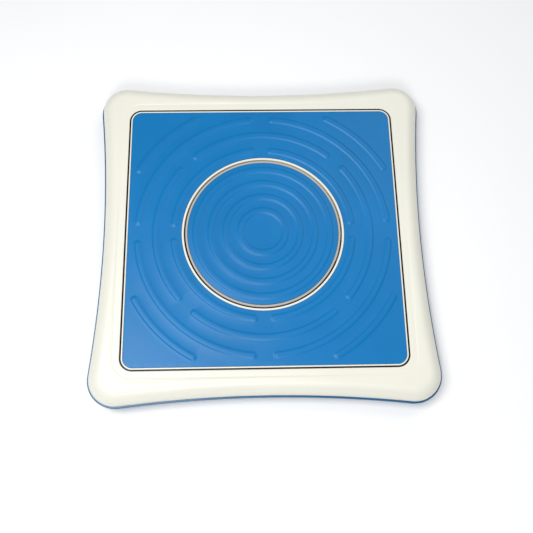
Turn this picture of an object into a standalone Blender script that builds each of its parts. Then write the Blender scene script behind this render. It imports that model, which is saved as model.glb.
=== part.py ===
"""A low table-top pottery wheel.

A cream surround and a blue lower shell make a shallow pillow-cornered body. A square deck lifts out of the
surround, and a belt-driven head turns in its middle. Both carry a rubber mat with raised rings.
Units are metres, +Z is up, and the origin is on the table under the wheel's axis.
"""

import math

import bmesh
import bpy
from mathutils import Matrix, Vector

MM = 0.001

# Clearances
GAP = 0.3 * MM  # between pieces that rest on, or are screwed to, each other
RUNNING_GAP = 0.15 * MM  # radial, round shafts and bearings
DECK_GAP = 1.9 * MM  # round the lift-out deck
WHEEL_GAP = 1.8 * MM  # round the turning head
BELT_GAP = 0.05 * MM  # between the belt and its pulleys
SINK = 0.5 * MM  # how far joined shapes run into each other

# Body outline, in plan
DECK_HALF = 160 * MM  # half the side of the deck mat
DECK_CORNER = 11.2 * MM  # corner radius of the deck mat
LIP_WIDTH = 1.6 * MM  # moulded lip round the deck mat's outside
RING_LIP = 2.4 * MM  # moulded lips each side of the wheel gap
SURROUND_WIDTH = 29 * MM  # from the deck opening to the rim, at mid-side
SIDE_RADIUS = 1450 * MM  # the sides' hollow curve
BODY_CORNER = 33 * MM

# Body heights
FOOT_HEIGHT = 3 * MM
SHELL_WALL = 2.5 * MM
FLANGE_RISE = 13 * MM  # from the shell's underside to its finger flange
RIM_HEIGHT = 6.4 * MM
DECK_RISE = 18.6 * MM  # from the rim to the top of the mats
CROWN = 1.0 * MM  # how far the surround stands above the mats
PAN_INSET = 19 * MM  # from the rim in to the shell's wall
RIM_STEP = 2.0 * MM  # ledge of the rim outside the surround
ROLL_WIDTH = 17 * MM  # width of the surround's rolled edge
CREASE_OFFSET = 7.7 * MM  # flat lip between the deck opening and the crown
SURROUND_WALL = 2.4 * MM
SEAT_WIDTH = 5 * MM  # ledge that carries the deck

# Mats
MAT_THICK = 1.6 * MM
TRAY_WALL = 2.6 * MM
LIP_DROP = 0.4 * MM  # how far the lips stay below the mats
RIB_HEIGHT = 1.0 * MM
RIB_WIDTH = 9 * MM
RIB_CREST = 5 * MM  # width of a rib's level top
RIB_MARGIN = 9.8 * MM  # from the head's outer rib to the edge of its mat
FIRST_RIB = 26.7 * MM  # radius of the head's inner rib
HEAD_RIBS = 4
ARC_START = 9.2 * MM  # from the deck's hole to its first rib arc
ARC_MARGIN = 11.2 * MM  # from the third ring of arcs to the mat's edge, at mid-side
ARC_BREAK = 3.5  # degrees from an arc's end to the middle of the break
CORNER_ARC_MARGIN = 4 * MM  # from the ends of the corner arcs to the mat's edge

# Wheel and drive
WHEEL_RADIUS = 92.3 * MM
BORE_RADIUS = 4 * MM
BEARING_RADIUS = 11 * MM
BEARING_WIDTH = 7 * MM
BALL_RADIUS = 1.8 * MM
BALLS = 7
SHOULDER = 4.3 * MM  # housing shoulder between the two bearings
HOUSING_WALL = 4.3 * MM
HOUSING_FLANGE = 26 * MM
CLIP_ROOM = 2.7 * MM
PULLEY_RADIUS = 60 * MM
PULLEY_WIDTH = 8 * MM
PULLEY_LIP = 1.4 * MM
WEB = 2.5 * MM
CARRIER_RADIUS = 30 * MM  # ring on the pulley that carries the head
CARRIER_WIDTH = 9 * MM
HUB_RADIUS = 10 * MM
BELT_WIDTH = 4.5 * MM
BELT_THICK = 0.9 * MM

# Motor
MOTOR_RADIUS = 19 * MM
MOTOR_HEIGHT = 11.3 * MM
MOTOR_PULLEY_RADIUS = 5 * MM
MOTOR_SHAFT_RADIUS = 1.5 * MM
BRACKET_THICK = 1.5 * MM
BRACKET_HALF = 26 * MM
MOTOR_ROOM = 15 * MM  # from the pulley's rim to the motor's axis

# Batteries
CELL_RADIUS = 7.1 * MM
CELL_LENGTH = 49.5 * MM
CELL_NIPPLE = 1.0 * MM
CELLS = 4
CELL_ROOM = 1.0 * MM  # between neighbouring cells
CONTACT_ROOM = 3.2 * MM  # at each end of the cells
BOX_WALL = 1.8 * MM
BOX_EAR = 12 * MM
EAR_THICK = 6 * MM
DOOR_LAP = 3 * MM  # floor between the door opening and the box flange's edge
BAY_ROOM = 12 * MM  # from the pulley's rim to the cells

# Controls
DIAL_RADIUS = 14 * MM
DIAL_THICK = 4 * MM
DIAL_REACH = 3.5 * MM  # how far the dial stands out of the shell's wall
DIAL_TEETH = 20
DIAL_X = 62 * MM
SWITCH_X = 92 * MM
SWITCH_TRAVEL = 4 * MM
SWITCH_KNOB = (6 * MM, 3.4 * MM)  # width, height
BOARD = (64 * MM, 24 * MM, 1.6 * MM)

# Screws and feet
SCREW_RADIUS = 1.5 * MM
SCREW_HEAD = 3.2 * MM
SCREW_HEAD_HEIGHT = 1.4 * MM
CASE_SCREW_INSET = 10.5 * MM
CASE_SCREW_LENGTH = 15 * MM
POST_RADIUS = 3.6 * MM
DECK_POST_RADIUS = 6 * MM
DECK_POST_INSET = 66 * MM  # from the deck's edge
FOOT_RADIUS = 10 * MM
FOOT_INSET = 46 * MM  # from the mid-side rim to the feet's axes
FOOT_PLUG = 4 * MM

# Heights that follow from the values above
SHELL_BOTTOM = FOOT_HEIGHT
FLOOR = SHELL_BOTTOM + SHELL_WALL
FLANGE_BOTTOM = SHELL_BOTTOM + FLANGE_RISE
FLANGE_TOP = FLANGE_BOTTOM + SHELL_WALL
RIM_TOP = FLANGE_BOTTOM + RIM_HEIGHT
MAT_TOP = RIM_TOP + DECK_RISE
TRAY_TOP = MAT_TOP - MAT_THICK - GAP
TRAY_BOTTOM = TRAY_TOP - TRAY_WALL
SEAT_TOP = TRAY_BOTTOM - GAP
EDGE_BOTTOM = RIM_TOP + GAP
LOWER_BEARING = FLOOR + CLIP_ROOM
UPPER_BEARING = LOWER_BEARING + BEARING_WIDTH + SHOULDER
WASHER_BOTTOM = UPPER_BEARING + BEARING_WIDTH + GAP
WASHER_THICK = 0.6 * MM
WEB_BOTTOM = WASHER_BOTTOM + WASHER_THICK + GAP
WEB_TOP = WEB_BOTTOM + WEB
HUB_TOP = WEB_TOP + 1.3 * MM
NUT_HEIGHT = 3.2 * MM
BELT_HEIGHT = WEB_TOP - PULLEY_WIDTH / 2
BRACKET_BOTTOM = FLOOR + MOTOR_HEIGHT + 3 * GAP
BRACKET_TOP = BRACKET_BOTTOM + BRACKET_THICK

# Places in plan that follow
OPENING_HALF = DECK_HALF + GAP + LIP_WIDTH + DECK_GAP
OPENING_CORNER = DECK_CORNER + GAP + LIP_WIDTH + DECK_GAP
BODY_HALF = OPENING_HALF + SURROUND_WIDTH
HOLE_RADIUS = WHEEL_RADIUS + WHEEL_GAP
MAT_HOLE = HOLE_RADIUS + RING_LIP + GAP
WHEEL_MAT_RADIUS = WHEEL_RADIUS - RING_LIP - GAP
MOTOR_X = PULLEY_RADIUS + MOTOR_ROOM + MOTOR_RADIUS
BAY_X = -(PULLEY_RADIUS + BAY_ROOM + CONTACT_ROOM + CELL_LENGTH / 2)
CELL_PITCH = 2 * CELL_RADIUS + CELL_ROOM
CELL_Z = FLOOR + 1.2 * MM + CELL_RADIUS
BAY_HALF_X = CELL_LENGTH / 2 + CONTACT_ROOM
BAY_HALF_Y = CELLS * CELL_PITCH / 2
RIB_PITCH = (WHEEL_MAT_RADIUS - RIB_MARGIN - FIRST_RIB) / (HEAD_RIBS - 1)
ARC_PITCH = (DECK_HALF - ARC_MARGIN - MAT_HOLE - ARC_START) / 2
DIAL_Z = SHELL_BOTTOM + 7.3 * MM
FOOT_AT = BODY_HALF - FOOT_INSET
DECK_POST_AT = DECK_HALF - DECK_POST_INSET

SIDE_STEPS = 4
CORNER_STEPS = 5
ROUND = 32  # facets of large turned pieces
SMALL_ROUND = 16
FOOT_ROUND = 12
SCREW_ROUND = 8


def clear_scene():
    for thing in list(bpy.data.objects):
        bpy.data.objects.remove(thing, do_unlink=True)


def material(name, colour, roughness, metallic=0.0):
    """A Principled material, made once for each name."""
    if name in bpy.data.materials:
        return bpy.data.materials[name]
    made = bpy.data.materials.new(name)
    made.use_nodes = True
    shader = made.node_tree.nodes["Principled BSDF"]
    shader.inputs["Base Color"].default_value = (*colour, 1.0)
    shader.inputs["Roughness"].default_value = roughness
    shader.inputs["Metallic"].default_value = metallic
    made.diffuse_color = (*colour, 1.0)
    return made


def finishes():
    return {
        "cream": material("cream_plastic", (0.86, 0.84, 0.72), 0.38),
        "beige": material("beige_plastic", (0.50, 0.47, 0.41), 0.42),
        "blue": material("blue_plastic", (0.012, 0.13, 0.30), 0.35),
        "mat": material("blue_rubber", (0.02, 0.21, 0.53), 0.55),
        "rubber": material("dark_rubber", (0.03, 0.03, 0.03), 0.8),
        "steel": material("bright_steel", (0.62, 0.62, 0.64), 0.28, 1.0),
        "zinc": material("cast_zinc", (0.45, 0.46, 0.48), 0.45, 1.0),
        "brass": material("brass", (0.72, 0.52, 0.22), 0.35, 1.0),
        "nylon": material("natural_nylon", (0.72, 0.70, 0.62), 0.5),
        "black": material("black_plastic", (0.02, 0.02, 0.022), 0.45),
        "board": material("board_green", (0.02, 0.18, 0.08), 0.5),
        "cell": material("cell_jacket", (0.10, 0.11, 0.12), 0.35),
        "wire": material("wire_red", (0.45, 0.02, 0.02), 0.5),
    }


def object_from(bm, name, finish, origin=(0, 0, 0), parent=None):
    """Turns a bmesh drawn in world coordinates into an object whose origin is at the given point."""
    bmesh.ops.recalc_face_normals(bm, faces=bm.faces)
    bmesh.ops.translate(bm, verts=bm.verts, vec=-Vector(origin))
    mesh = bpy.data.meshes.new(name)
    bm.to_mesh(mesh)
    bm.free()
    mesh.shade_smooth()
    mesh.set_sharp_from_angle(angle=math.radians(35))
    made = bpy.data.objects.new(name, mesh)
    made.location = origin
    if finish:
        mesh.materials.append(finish)
    bpy.context.collection.objects.link(made)
    if parent:
        made.location = Vector(origin) - parent.location
        made.parent = parent
    return made


def axis_empty(name, place):
    empty = bpy.data.objects.new(name, None)
    empty.location = place
    empty.empty_display_size = 0.02
    bpy.context.collection.objects.link(empty)
    return empty


def helper(bm, name):
    """A cutter or an added shape for a Boolean: kept in the file, left out of renders."""
    made = object_from(bm, name, None)
    made.hide_render = True
    made.display_type = "WIRE"
    return made


def combine(target, bm, name, operation):
    modifier = target.modifiers.new(name, "BOOLEAN")
    modifier.operation = operation
    modifier.solver = "EXACT"
    modifier.object = helper(bm, f"{target.name}_{name}")


def add_cylinder(bm, x, y, radius, low, high, steps=SCREW_ROUND):
    place = Matrix.Translation((x, y, (low + high) / 2))
    bmesh.ops.create_cone(
        bm, cap_ends=True, segments=steps, radius1=radius, radius2=radius, depth=high - low, matrix=place
    )


def add_box(bm, low, high):
    low, high = Vector(low), Vector(high)
    place = Matrix.LocRotScale((low + high) / 2, None, high - low)
    bmesh.ops.create_cube(bm, size=1, matrix=place)


def add_turned(bm, profile, steps, x=0.0, y=0.0):
    """Spins a closed (radius, height) outline about the vertical through x, y."""
    points = [bm.verts.new((x + radius, y, height)) for radius, height in profile]
    edges = [bm.edges.new(pair) for pair in zip(points, points[1:])]
    if profile[0][0] > 0 or profile[-1][0] > 0:
        edges.append(bm.edges.new((points[-1], points[0])))
    bmesh.ops.spin(
        bm, geom=points + edges, cent=(x, y, 0), axis=(0, 0, 1), angle=math.tau, steps=steps, use_merge=True
    )
    bmesh.ops.remove_doubles(bm, verts=bm.verts, dist=1e-6)


def turned(name, profile, finish, steps=ROUND, x=0.0, y=0.0, parent=None, origin=None):
    bm = bmesh.new()
    add_turned(bm, profile, steps, x, y)
    return object_from(bm, name, finish, origin or (x, y, 0), parent)


def ring_profile(inner, outer, low, high):
    return [(inner, low), (outer, low), (outer, high), (inner, high)]


def body_loop(inset):
    """Points round the body's outline, moved in by inset: hollow sides joined by round corners."""
    far = BODY_HALF + SIDE_RADIUS
    reach = SIDE_RADIUS + BODY_CORNER
    corner = (far - math.sqrt(2 * reach**2 - far**2)) / 2
    tilt = math.atan2(corner, far - corner)
    quarter = []
    for step in range(SIDE_STEPS):
        turn = tilt * (2 * step / SIDE_STEPS - 1)
        side = SIDE_RADIUS + inset
        quarter.append((far - side * math.cos(turn), side * math.sin(turn)))
    for step in range(CORNER_STEPS):
        turn = -tilt + (math.pi / 2 + 2 * tilt) * step / CORNER_STEPS
        radius = BODY_CORNER - inset
        quarter.append((corner + radius * math.cos(turn), corner + radius * math.sin(turn)))
    return quarter_turns(quarter)


def square_loop(half, radius):
    """Points round a square with round corners, in step with body_loop."""
    straight = half - radius
    quarter = [(half, straight * (2 * step / SIDE_STEPS - 1)) for step in range(SIDE_STEPS)]
    for step in range(CORNER_STEPS):
        turn = math.pi / 2 * step / CORNER_STEPS
        quarter.append((straight + radius * math.cos(turn), straight + radius * math.sin(turn)))
    return quarter_turns(quarter)


def quarter_turns(quarter):
    points = list(quarter)
    for _ in range(3):
        quarter = [(-y, x) for x, y in quarter]
        points += quarter
    return points


def opening_loop(offset):
    return square_loop(OPENING_HALF + offset, OPENING_CORNER + offset)


def next_ring(bm, verts, points, height):
    """Extrudes a ring of vertices, and moves the new ring onto the points at this height."""
    edges = [bm.edges.get(pair) for pair in zip(verts, verts[1:] + verts[:1])]
    made = bmesh.ops.extrude_edge_only(bm, edges=edges)["geom"]
    new = {item for item in made if isinstance(item, bmesh.types.BMVert)}
    ring = []
    for vert, (x, y) in zip(verts, points):
        raised = next(edge.other_vert(vert) for edge in vert.link_edges if edge.other_vert(vert) in new)
        raised.co = (x, y, height)
        ring.append(raised)
    return ring


def lofted(bm, rings, closed):
    """Skins rings of (points, height). A closed loft joins the last to the first, an open one gets caps."""
    points, height = rings[0]
    first = [bm.verts.new((x, y, height)) for x, y in points]
    for pair in zip(first, first[1:] + first[:1]):
        bm.edges.new(pair)
    last = first
    for points, height in rings[1:]:
        last = next_ring(bm, last, points, height)
    if closed:
        next_ring(bm, last, *rings[0])
        bmesh.ops.remove_doubles(bm, verts=bm.verts, dist=1e-6)
    else:
        bm.faces.new(first)
        bm.faces.new(last)


def case_screw_places():
    """Under the flange, at each corner and each mid-side."""
    loop = body_loop(CASE_SCREW_INSET)
    quarter = SIDE_STEPS + CORNER_STEPS
    places = []
    for turn in range(4):
        places.append(Vector(loop[turn * quarter + SIDE_STEPS // 2]))
        start = turn * quarter + SIDE_STEPS
        after = loop[(start + CORNER_STEPS) % len(loop)]
        middle = (Vector(loop[start]) + Vector(after)).normalized()
        corner_diagonal = max(Vector(point).dot(middle) for point in loop)
        places.append(middle * corner_diagonal)
    return places


def screw_profile(head_z, tip_z):
    """A pan-head screw on its axis. Its head lies beyond head_z, away from the tip."""
    away = math.copysign(SCREW_HEAD_HEIGHT, head_z - tip_z)
    profile = [
        (0, tip_z),
        (SCREW_RADIUS, tip_z),
        (SCREW_RADIUS, head_z),
        (SCREW_HEAD, head_z),
        (SCREW_HEAD * 0.8, head_z + away),
        (0, head_z + away),
    ]
    return profile


def add_screw_hole(bm, x, y, low, high):
    add_cylinder(bm, x, y, SCREW_RADIUS + GAP, low, high)


def add_sunk_hole(bm, x, y, seat, through, mouth):
    """A screw hole from through up or down to its seat, widened for the head from there to the mouth."""
    profile = [
        (0, through),
        (SCREW_RADIUS + GAP, through),
        (SCREW_RADIUS + GAP, seat),
        (SCREW_HEAD + GAP, seat),
        (SCREW_HEAD + GAP, mouth),
        (0, mouth),
    ]
    add_turned(bm, profile, SCREW_ROUND, x, y)


def dial_centre():
    wall = BODY_HALF - PAN_INSET + side_sagitta(DIAL_X)
    return (DIAL_X, -(wall + DIAL_REACH - DIAL_RADIUS), DIAL_Z)


def side_sagitta(along):
    """How far the hollow side stands out, this far along from its middle."""
    return SIDE_RADIUS - math.sqrt(SIDE_RADIUS**2 - along**2)


def switch_face():
    """y of the shell wall's outside at the power switch."""
    return -(BODY_HALF - PAN_INSET + side_sagitta(SWITCH_X))


def door_box(spread):
    """Corners of the battery door, grown by spread in plan."""
    half_x = BAY_HALF_X + spread
    half_y = BAY_HALF_Y + BOX_EAR + spread
    return (BAY_X - half_x, -half_y), (BAY_X + half_x, half_y)


def foot_places():
    return [(x, y) for x in (-FOOT_AT, FOOT_AT) for y in (-FOOT_AT, FOOT_AT)]


def bracket_posts():
    return [(MOTOR_X, side * (BRACKET_HALF + 2 * MM)) for side in (-1, 1)]


def board_box():
    centre_x = (DIAL_X + SWITCH_X) / 2
    front = dial_centre()[1] - 4 * MM
    low_z = DIAL_Z + DIAL_THICK / 2 + 6 * MM
    low = Vector((centre_x - BOARD[0] / 2, front, low_z))
    return low, low + Vector(BOARD)


def board_posts():
    low, high = board_box()
    back = high.y - 4 * MM
    return [(low.x + 5 * MM, back), (high.x - 5 * MM, back)]


def housing_screw_places():
    radius = (HOUSING_FLANGE + BEARING_RADIUS + HOUSING_WALL) / 2
    turns = [math.radians(angle) for angle in (90, 210, 330)]
    return [(radius * math.cos(turn), radius * math.sin(turn)) for turn in turns]


def wheel_screw_places():
    turns = [math.radians(angle) for angle in (30, 150, 270)]
    return [(CARRIER_RADIUS * math.cos(turn), CARRIER_RADIUS * math.sin(turn)) for turn in turns]


def build_base_shell(look):
    """Shallow pan with a finger flange and an upstanding rim."""
    bm = bmesh.new()
    bend = 3 * MM
    ledge = RIM_STEP + SURROUND_WALL + GAP
    rings = [
        (body_loop(PAN_INSET + bend), SHELL_BOTTOM),
        (body_loop(PAN_INSET + 0.2 * MM), SHELL_BOTTOM + bend),
        (body_loop(PAN_INSET - 0.8 * MM), FLANGE_BOTTOM),
        (body_loop(1.0 * MM), FLANGE_BOTTOM),
        (body_loop(0), FLANGE_BOTTOM + 1.0 * MM),
        (body_loop(0), RIM_TOP - 0.5 * MM),
        (body_loop(0.5 * MM), RIM_TOP),
        (body_loop(ledge), RIM_TOP),
        (body_loop(ledge), FLANGE_TOP),
        (body_loop(PAN_INSET + 1.4 * MM), FLANGE_TOP),
        (body_loop(PAN_INSET + SHELL_WALL + 0.4 * MM), FLOOR + bend),
        (body_loop(PAN_INSET + SHELL_WALL + bend), FLOOR),
    ]
    lofted(bm, rings, closed=False)
    shell = object_from(bm, "base_shell", look["blue"])
    posts = bmesh.new()
    for x, y in bracket_posts():
        add_cylinder(posts, x, y, POST_RADIUS, FLOOR - SINK, BRACKET_BOTTOM - GAP)
    for x, y in board_posts():
        add_cylinder(posts, x, y, POST_RADIUS, FLOOR - SINK, board_box()[0].z - GAP)
    for x in (-DECK_POST_AT, DECK_POST_AT):
        for y in (-DECK_POST_AT, DECK_POST_AT):
            add_cylinder(posts, x, y, DECK_POST_RADIUS, FLOOR - SINK, SEAT_TOP)
    combine(shell, posts, "posts", "UNION")
    holes = bmesh.new()
    through = FLANGE_TOP + 1 * MM
    for x, y in case_screw_places():
        add_screw_hole(holes, x, y, FLANGE_BOTTOM - 1 * MM, through)
    for x, y in foot_places():
        add_cylinder(holes, x, y, FOOT_PLUG + GAP, SHELL_BOTTOM - 1 * MM, FLOOR + 1 * MM, FOOT_ROUND)
    for x, y in housing_screw_places():
        add_screw_hole(holes, x, y, SHELL_BOTTOM - 1 * MM, FLOOR + 1 * MM)
    for x, y in bracket_posts():
        add_screw_hole(holes, x, y, FLOOR + 3 * MM, BRACKET_TOP)
    low, high = door_box(GAP)
    add_box(holes, (*low, SHELL_BOTTOM - 1 * MM), (*high, FLOOR + 1 * MM))
    dial_x, dial_y, dial_z = dial_centre()
    slot = DIAL_THICK / 2 + 0.8 * MM
    add_cylinder(holes, dial_x, dial_y, DIAL_RADIUS + 1 * MM, dial_z - slot, dial_z + slot, SMALL_ROUND)
    face = switch_face()
    half = SWITCH_KNOB[0] / 2 + 0.5 * MM
    tall = SWITCH_KNOB[1] / 2 + 0.5 * MM
    add_box(
        holes,
        (SWITCH_X - half, face - 2 * MM, DIAL_Z - tall),
        (SWITCH_X + half + SWITCH_TRAVEL, face + SHELL_WALL + 2 * MM, DIAL_Z + tall),
    )
    combine(shell, holes, "holes", "DIFFERENCE")


def roll_rings(width, height, inset, bottom, steps):
    """Rings up a quarter-round edge, from its foot to its crest."""
    rings = []
    for step in range(steps + 1):
        turn = math.pi / 2 * step / steps
        rings.append((body_loop(inset + width * (1 - math.cos(turn))), bottom + height * math.sin(turn)))
    return rings


def roll_height(inset):
    """Height of the rolled edge's outside, this far in from the rim."""
    across = 1 - (inset - RIM_STEP) / ROLL_WIDTH
    return EDGE_BOTTOM + roll_rise() * math.sqrt(1 - across**2)


def roll_rise():
    return MAT_TOP + CROWN - EDGE_BOTTOM


def build_surround(look):
    """Cream frame: rolled outer edge, low crown, flat lip and a seat for the deck."""
    bm = bmesh.new()
    rise = roll_rise()
    rings = roll_rings(ROLL_WIDTH, rise, RIM_STEP, EDGE_BOTTOM, 5)
    rings += [
        (opening_loop(CREASE_OFFSET), MAT_TOP + 0.2 * MM),
        (opening_loop(0.8 * MM), MAT_TOP),
        (opening_loop(0), MAT_TOP - 0.8 * MM),
        (opening_loop(0), SEAT_TOP),
        (opening_loop(-SEAT_WIDTH), SEAT_TOP),
        (opening_loop(-SEAT_WIDTH), SEAT_TOP - SURROUND_WALL),
        (opening_loop(SURROUND_WALL), SEAT_TOP - SURROUND_WALL),
        (opening_loop(SURROUND_WALL), MAT_TOP - SURROUND_WALL),
    ]
    under = roll_rings(
        ROLL_WIDTH - SURROUND_WALL, rise - SURROUND_WALL, RIM_STEP + SURROUND_WALL, EDGE_BOTTOM, 4
    )
    rings += reversed(under)
    lofted(bm, rings, closed=True)
    surround = object_from(bm, "top_surround", look["cream"])
    posts = bmesh.new()
    post_top = roll_height(CASE_SCREW_INSET - POST_RADIUS) - 1 * MM
    for x, y in case_screw_places():
        add_cylinder(posts, x, y, POST_RADIUS, FLANGE_TOP + GAP, post_top)
    combine(surround, posts, "posts", "UNION")
    holes = bmesh.new()
    for x, y in case_screw_places():
        add_screw_hole(holes, x, y, FLANGE_TOP, FLANGE_TOP + CASE_SCREW_LENGTH)
    combine(surround, holes, "holes", "DIFFERENCE")


def lip_height():
    return MAT_TOP - LIP_DROP


def build_deck_tray(look, parent):
    """Square tray with a lip round its edge and a collar round the wheel's hole."""
    bm = bmesh.new()
    outer = DECK_HALF + GAP + LIP_WIDTH
    corner = DECK_CORNER + GAP + LIP_WIDTH
    rings = [
        (square_loop(outer - 1 * MM, corner - 1 * MM), TRAY_BOTTOM),
        (square_loop(outer, corner), TRAY_BOTTOM + 1 * MM),
        (square_loop(outer, corner), lip_height() - 0.4 * MM),
        (square_loop(outer - 0.4 * MM, corner - 0.4 * MM), lip_height()),
        (square_loop(outer - LIP_WIDTH, DECK_CORNER + GAP), lip_height()),
        (square_loop(outer - LIP_WIDTH, DECK_CORNER + GAP), TRAY_TOP),
    ]
    lofted(bm, rings, closed=False)
    tray = object_from(bm, "deck_tray", look["cream"], parent=parent)
    collar = bmesh.new()
    skirt = TRAY_BOTTOM - 3 * MM
    add_turned(
        collar, ring_profile(HOLE_RADIUS - 1 * MM, HOLE_RADIUS + RING_LIP, skirt, lip_height()), ROUND
    )
    combine(tray, collar, "collar", "UNION")
    hole = bmesh.new()
    add_cylinder(hole, 0, 0, HOLE_RADIUS, skirt - 1 * MM, MAT_TOP + 1 * MM, ROUND)
    combine(tray, hole, "hole", "DIFFERENCE")


def add_rib_arc(bm, radius, start, end):
    """One raised arc with sloping flanks, sunk a little into the mat."""
    steps = max(3, round((end - start) / 9))
    section = [
        (-RIB_WIDTH / 2, -SINK),
        (-RIB_WIDTH / 2, 0),
        (-RIB_CREST / 2, RIB_HEIGHT),
        (RIB_CREST / 2, RIB_HEIGHT),
        (RIB_WIDTH / 2, 0),
        (RIB_WIDTH / 2, -SINK),
    ]
    first = math.radians(start)
    verts = [
        bm.verts.new(((radius + out) * math.cos(first), (radius + out) * math.sin(first), MAT_TOP + up))
        for out, up in section
    ]
    face = bm.faces.new(verts)
    bmesh.ops.spin(
        bm,
        geom=[face, *face.edges, *verts],
        cent=(0, 0, 0),
        axis=(0, 0, 1),
        angle=math.radians(end - start),
        steps=steps,
    )


def deck_rib_arcs():
    """(radius, start, end) of every raised arc on the deck, in degrees."""
    arcs = []
    for ring in range(3):
        radius = MAT_HOLE + ARC_START + ring * ARC_PITCH
        first = 45 if ring == 1 else 0
        for quarter in range(4):
            start = first + 90 * quarter
            arcs.append((radius, start + ARC_BREAK, start + 90 - ARC_BREAK))
    outer = MAT_HOLE + ARC_START + 3 * ARC_PITCH
    reach = min(1.0, (DECK_HALF - CORNER_ARC_MARGIN) / (outer + RIB_WIDTH / 2))
    span = 45 - max(ARC_BREAK, math.degrees(math.acos(reach)))
    for quarter in range(4):
        diagonal = 45 + 90 * quarter
        arcs.append((outer, diagonal - span, diagonal + span))
    return arcs


def build_deck_mat(look, parent):
    """Rubber sheet in the tray, with the wheel's hole and the broken rib arcs."""
    bm = bmesh.new()
    bottom = TRAY_TOP + GAP
    rings = [
        (square_loop(DECK_HALF, DECK_CORNER), bottom),
        (square_loop(DECK_HALF, DECK_CORNER), MAT_TOP - 0.4 * MM),
        (square_loop(DECK_HALF - 0.4 * MM, DECK_CORNER - 0.4 * MM), MAT_TOP),
    ]
    lofted(bm, rings, closed=False)
    mat = object_from(bm, "deck_mat", look["mat"], parent=parent)
    hole = bmesh.new()
    add_cylinder(hole, 0, 0, MAT_HOLE, bottom - 1 * MM, MAT_TOP + 1 * MM, ROUND)
    combine(mat, hole, "hole", "DIFFERENCE")
    ribs = bmesh.new()
    for radius, start, end in deck_rib_arcs():
        add_rib_arc(ribs, radius, start, end)
    combine(mat, ribs, "ribs", "UNION")


def build_wheel(look, axis):
    """Head plate with its lip, and the ribbed mat on it."""
    plate = [
        (0, TRAY_BOTTOM),
        (WHEEL_RADIUS - 3.5 * MM, TRAY_BOTTOM),
        (WHEEL_RADIUS - 3.5 * MM, TRAY_BOTTOM - 2 * MM),
        (WHEEL_RADIUS - 1 * MM, TRAY_BOTTOM - 2 * MM),
        (WHEEL_RADIUS, TRAY_BOTTOM),
        (WHEEL_RADIUS, lip_height() - 0.4 * MM),
        (WHEEL_RADIUS - 0.4 * MM, lip_height()),
        (WHEEL_RADIUS - RING_LIP, lip_height()),
        (WHEEL_RADIUS - RING_LIP, TRAY_TOP),
        (0, TRAY_TOP),
    ]
    head = turned("wheel_head", plate, look["beige"], ROUND, parent=axis)
    holes = bmesh.new()
    for x, y in wheel_screw_places():
        add_sunk_hole(holes, x, y, head_seat(), TRAY_BOTTOM - 1 * MM, TRAY_TOP + 1 * MM)
    combine(head, holes, "screw_holes", "DIFFERENCE")
    bottom = TRAY_TOP + GAP
    top = [(0, MAT_TOP)]
    for rib in range(HEAD_RIBS):
        centre = FIRST_RIB + rib * RIB_PITCH
        top += [
            (centre - RIB_WIDTH / 2, MAT_TOP),
            (centre - RIB_CREST / 2, MAT_TOP + RIB_HEIGHT),
            (centre + RIB_CREST / 2, MAT_TOP + RIB_HEIGHT),
            (centre + RIB_WIDTH / 2, MAT_TOP),
        ]
    edge = [
        (WHEEL_MAT_RADIUS - 0.4 * MM, MAT_TOP),
        (WHEEL_MAT_RADIUS, MAT_TOP - 0.4 * MM),
        (WHEEL_MAT_RADIUS, bottom),
        (0, bottom),
    ]
    turned("wheel_mat", top + edge, look["mat"], ROUND, parent=axis)
    for number, (x, y) in enumerate(wheel_screw_places(), 1):
        tip = WEB_BOTTOM + 0.5 * MM
        turned(
            f"wheel_screw_{number}", screw_profile(head_seat() + GAP, tip), look["steel"], SCREW_ROUND, x, y,
            parent=axis, origin=(x, y, 0),
        )


def head_seat():
    """Height at which the wheel screws' heads sit in the head plate."""
    return TRAY_TOP - SCREW_HEAD_HEIGHT - GAP


def build_spindle(look, axis):
    """Stepped shaft with a clip groove at the foot, its washer, nut and clip."""
    clip_low = FLOOR + 0.9 * MM
    clip_high = clip_low + 1.0 * MM
    groove = BORE_RADIUS - 0.8 * MM
    foot = FLOOR + 0.4 * MM
    nut_low = HUB_TOP + GAP
    profile = [
        (0, foot),
        (BORE_RADIUS, foot),
        (BORE_RADIUS, clip_low - 0.1 * MM),
        (groove, clip_low - 0.1 * MM),
        (groove, clip_high + 0.1 * MM),
        (BORE_RADIUS, clip_high + 0.1 * MM),
        (BORE_RADIUS, nut_low + NUT_HEIGHT),
        (0, nut_low + NUT_HEIGHT),
    ]
    turned("spindle", profile, look["steel"], SMALL_ROUND, parent=axis)
    bore = BORE_RADIUS + RUNNING_GAP
    washer = ring_profile(bore, BORE_RADIUS + 2.4 * MM, WASHER_BOTTOM, WASHER_BOTTOM + WASHER_THICK)
    turned("thrust_washer", washer, look["brass"], SMALL_ROUND, parent=axis)
    clip = bmesh.new()
    add_turned(clip, ring_profile(groove + RUNNING_GAP, BORE_RADIUS + 2.6 * MM, clip_low, clip_high), SMALL_ROUND)
    ring = object_from(clip, "spindle_clip", look["steel"], parent=axis)
    mouth = bmesh.new()
    add_box(mouth, (0, -1.5 * MM, clip_low - 1 * MM), (9 * MM, 1.5 * MM, clip_high + 1 * MM))
    combine(ring, mouth, "mouth", "DIFFERENCE")
    nut = bmesh.new()
    add_cylinder(nut, 0, 0, HUB_RADIUS - 2.5 * MM, nut_low, nut_low + NUT_HEIGHT, 6)
    body = object_from(nut, "hub_nut", look["steel"], parent=axis)
    thread = bmesh.new()
    add_cylinder(thread, 0, 0, bore, nut_low - 1 * MM, nut_low + NUT_HEIGHT + 1 * MM, SMALL_ROUND)
    combine(body, thread, "thread", "DIFFERENCE")


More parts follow.
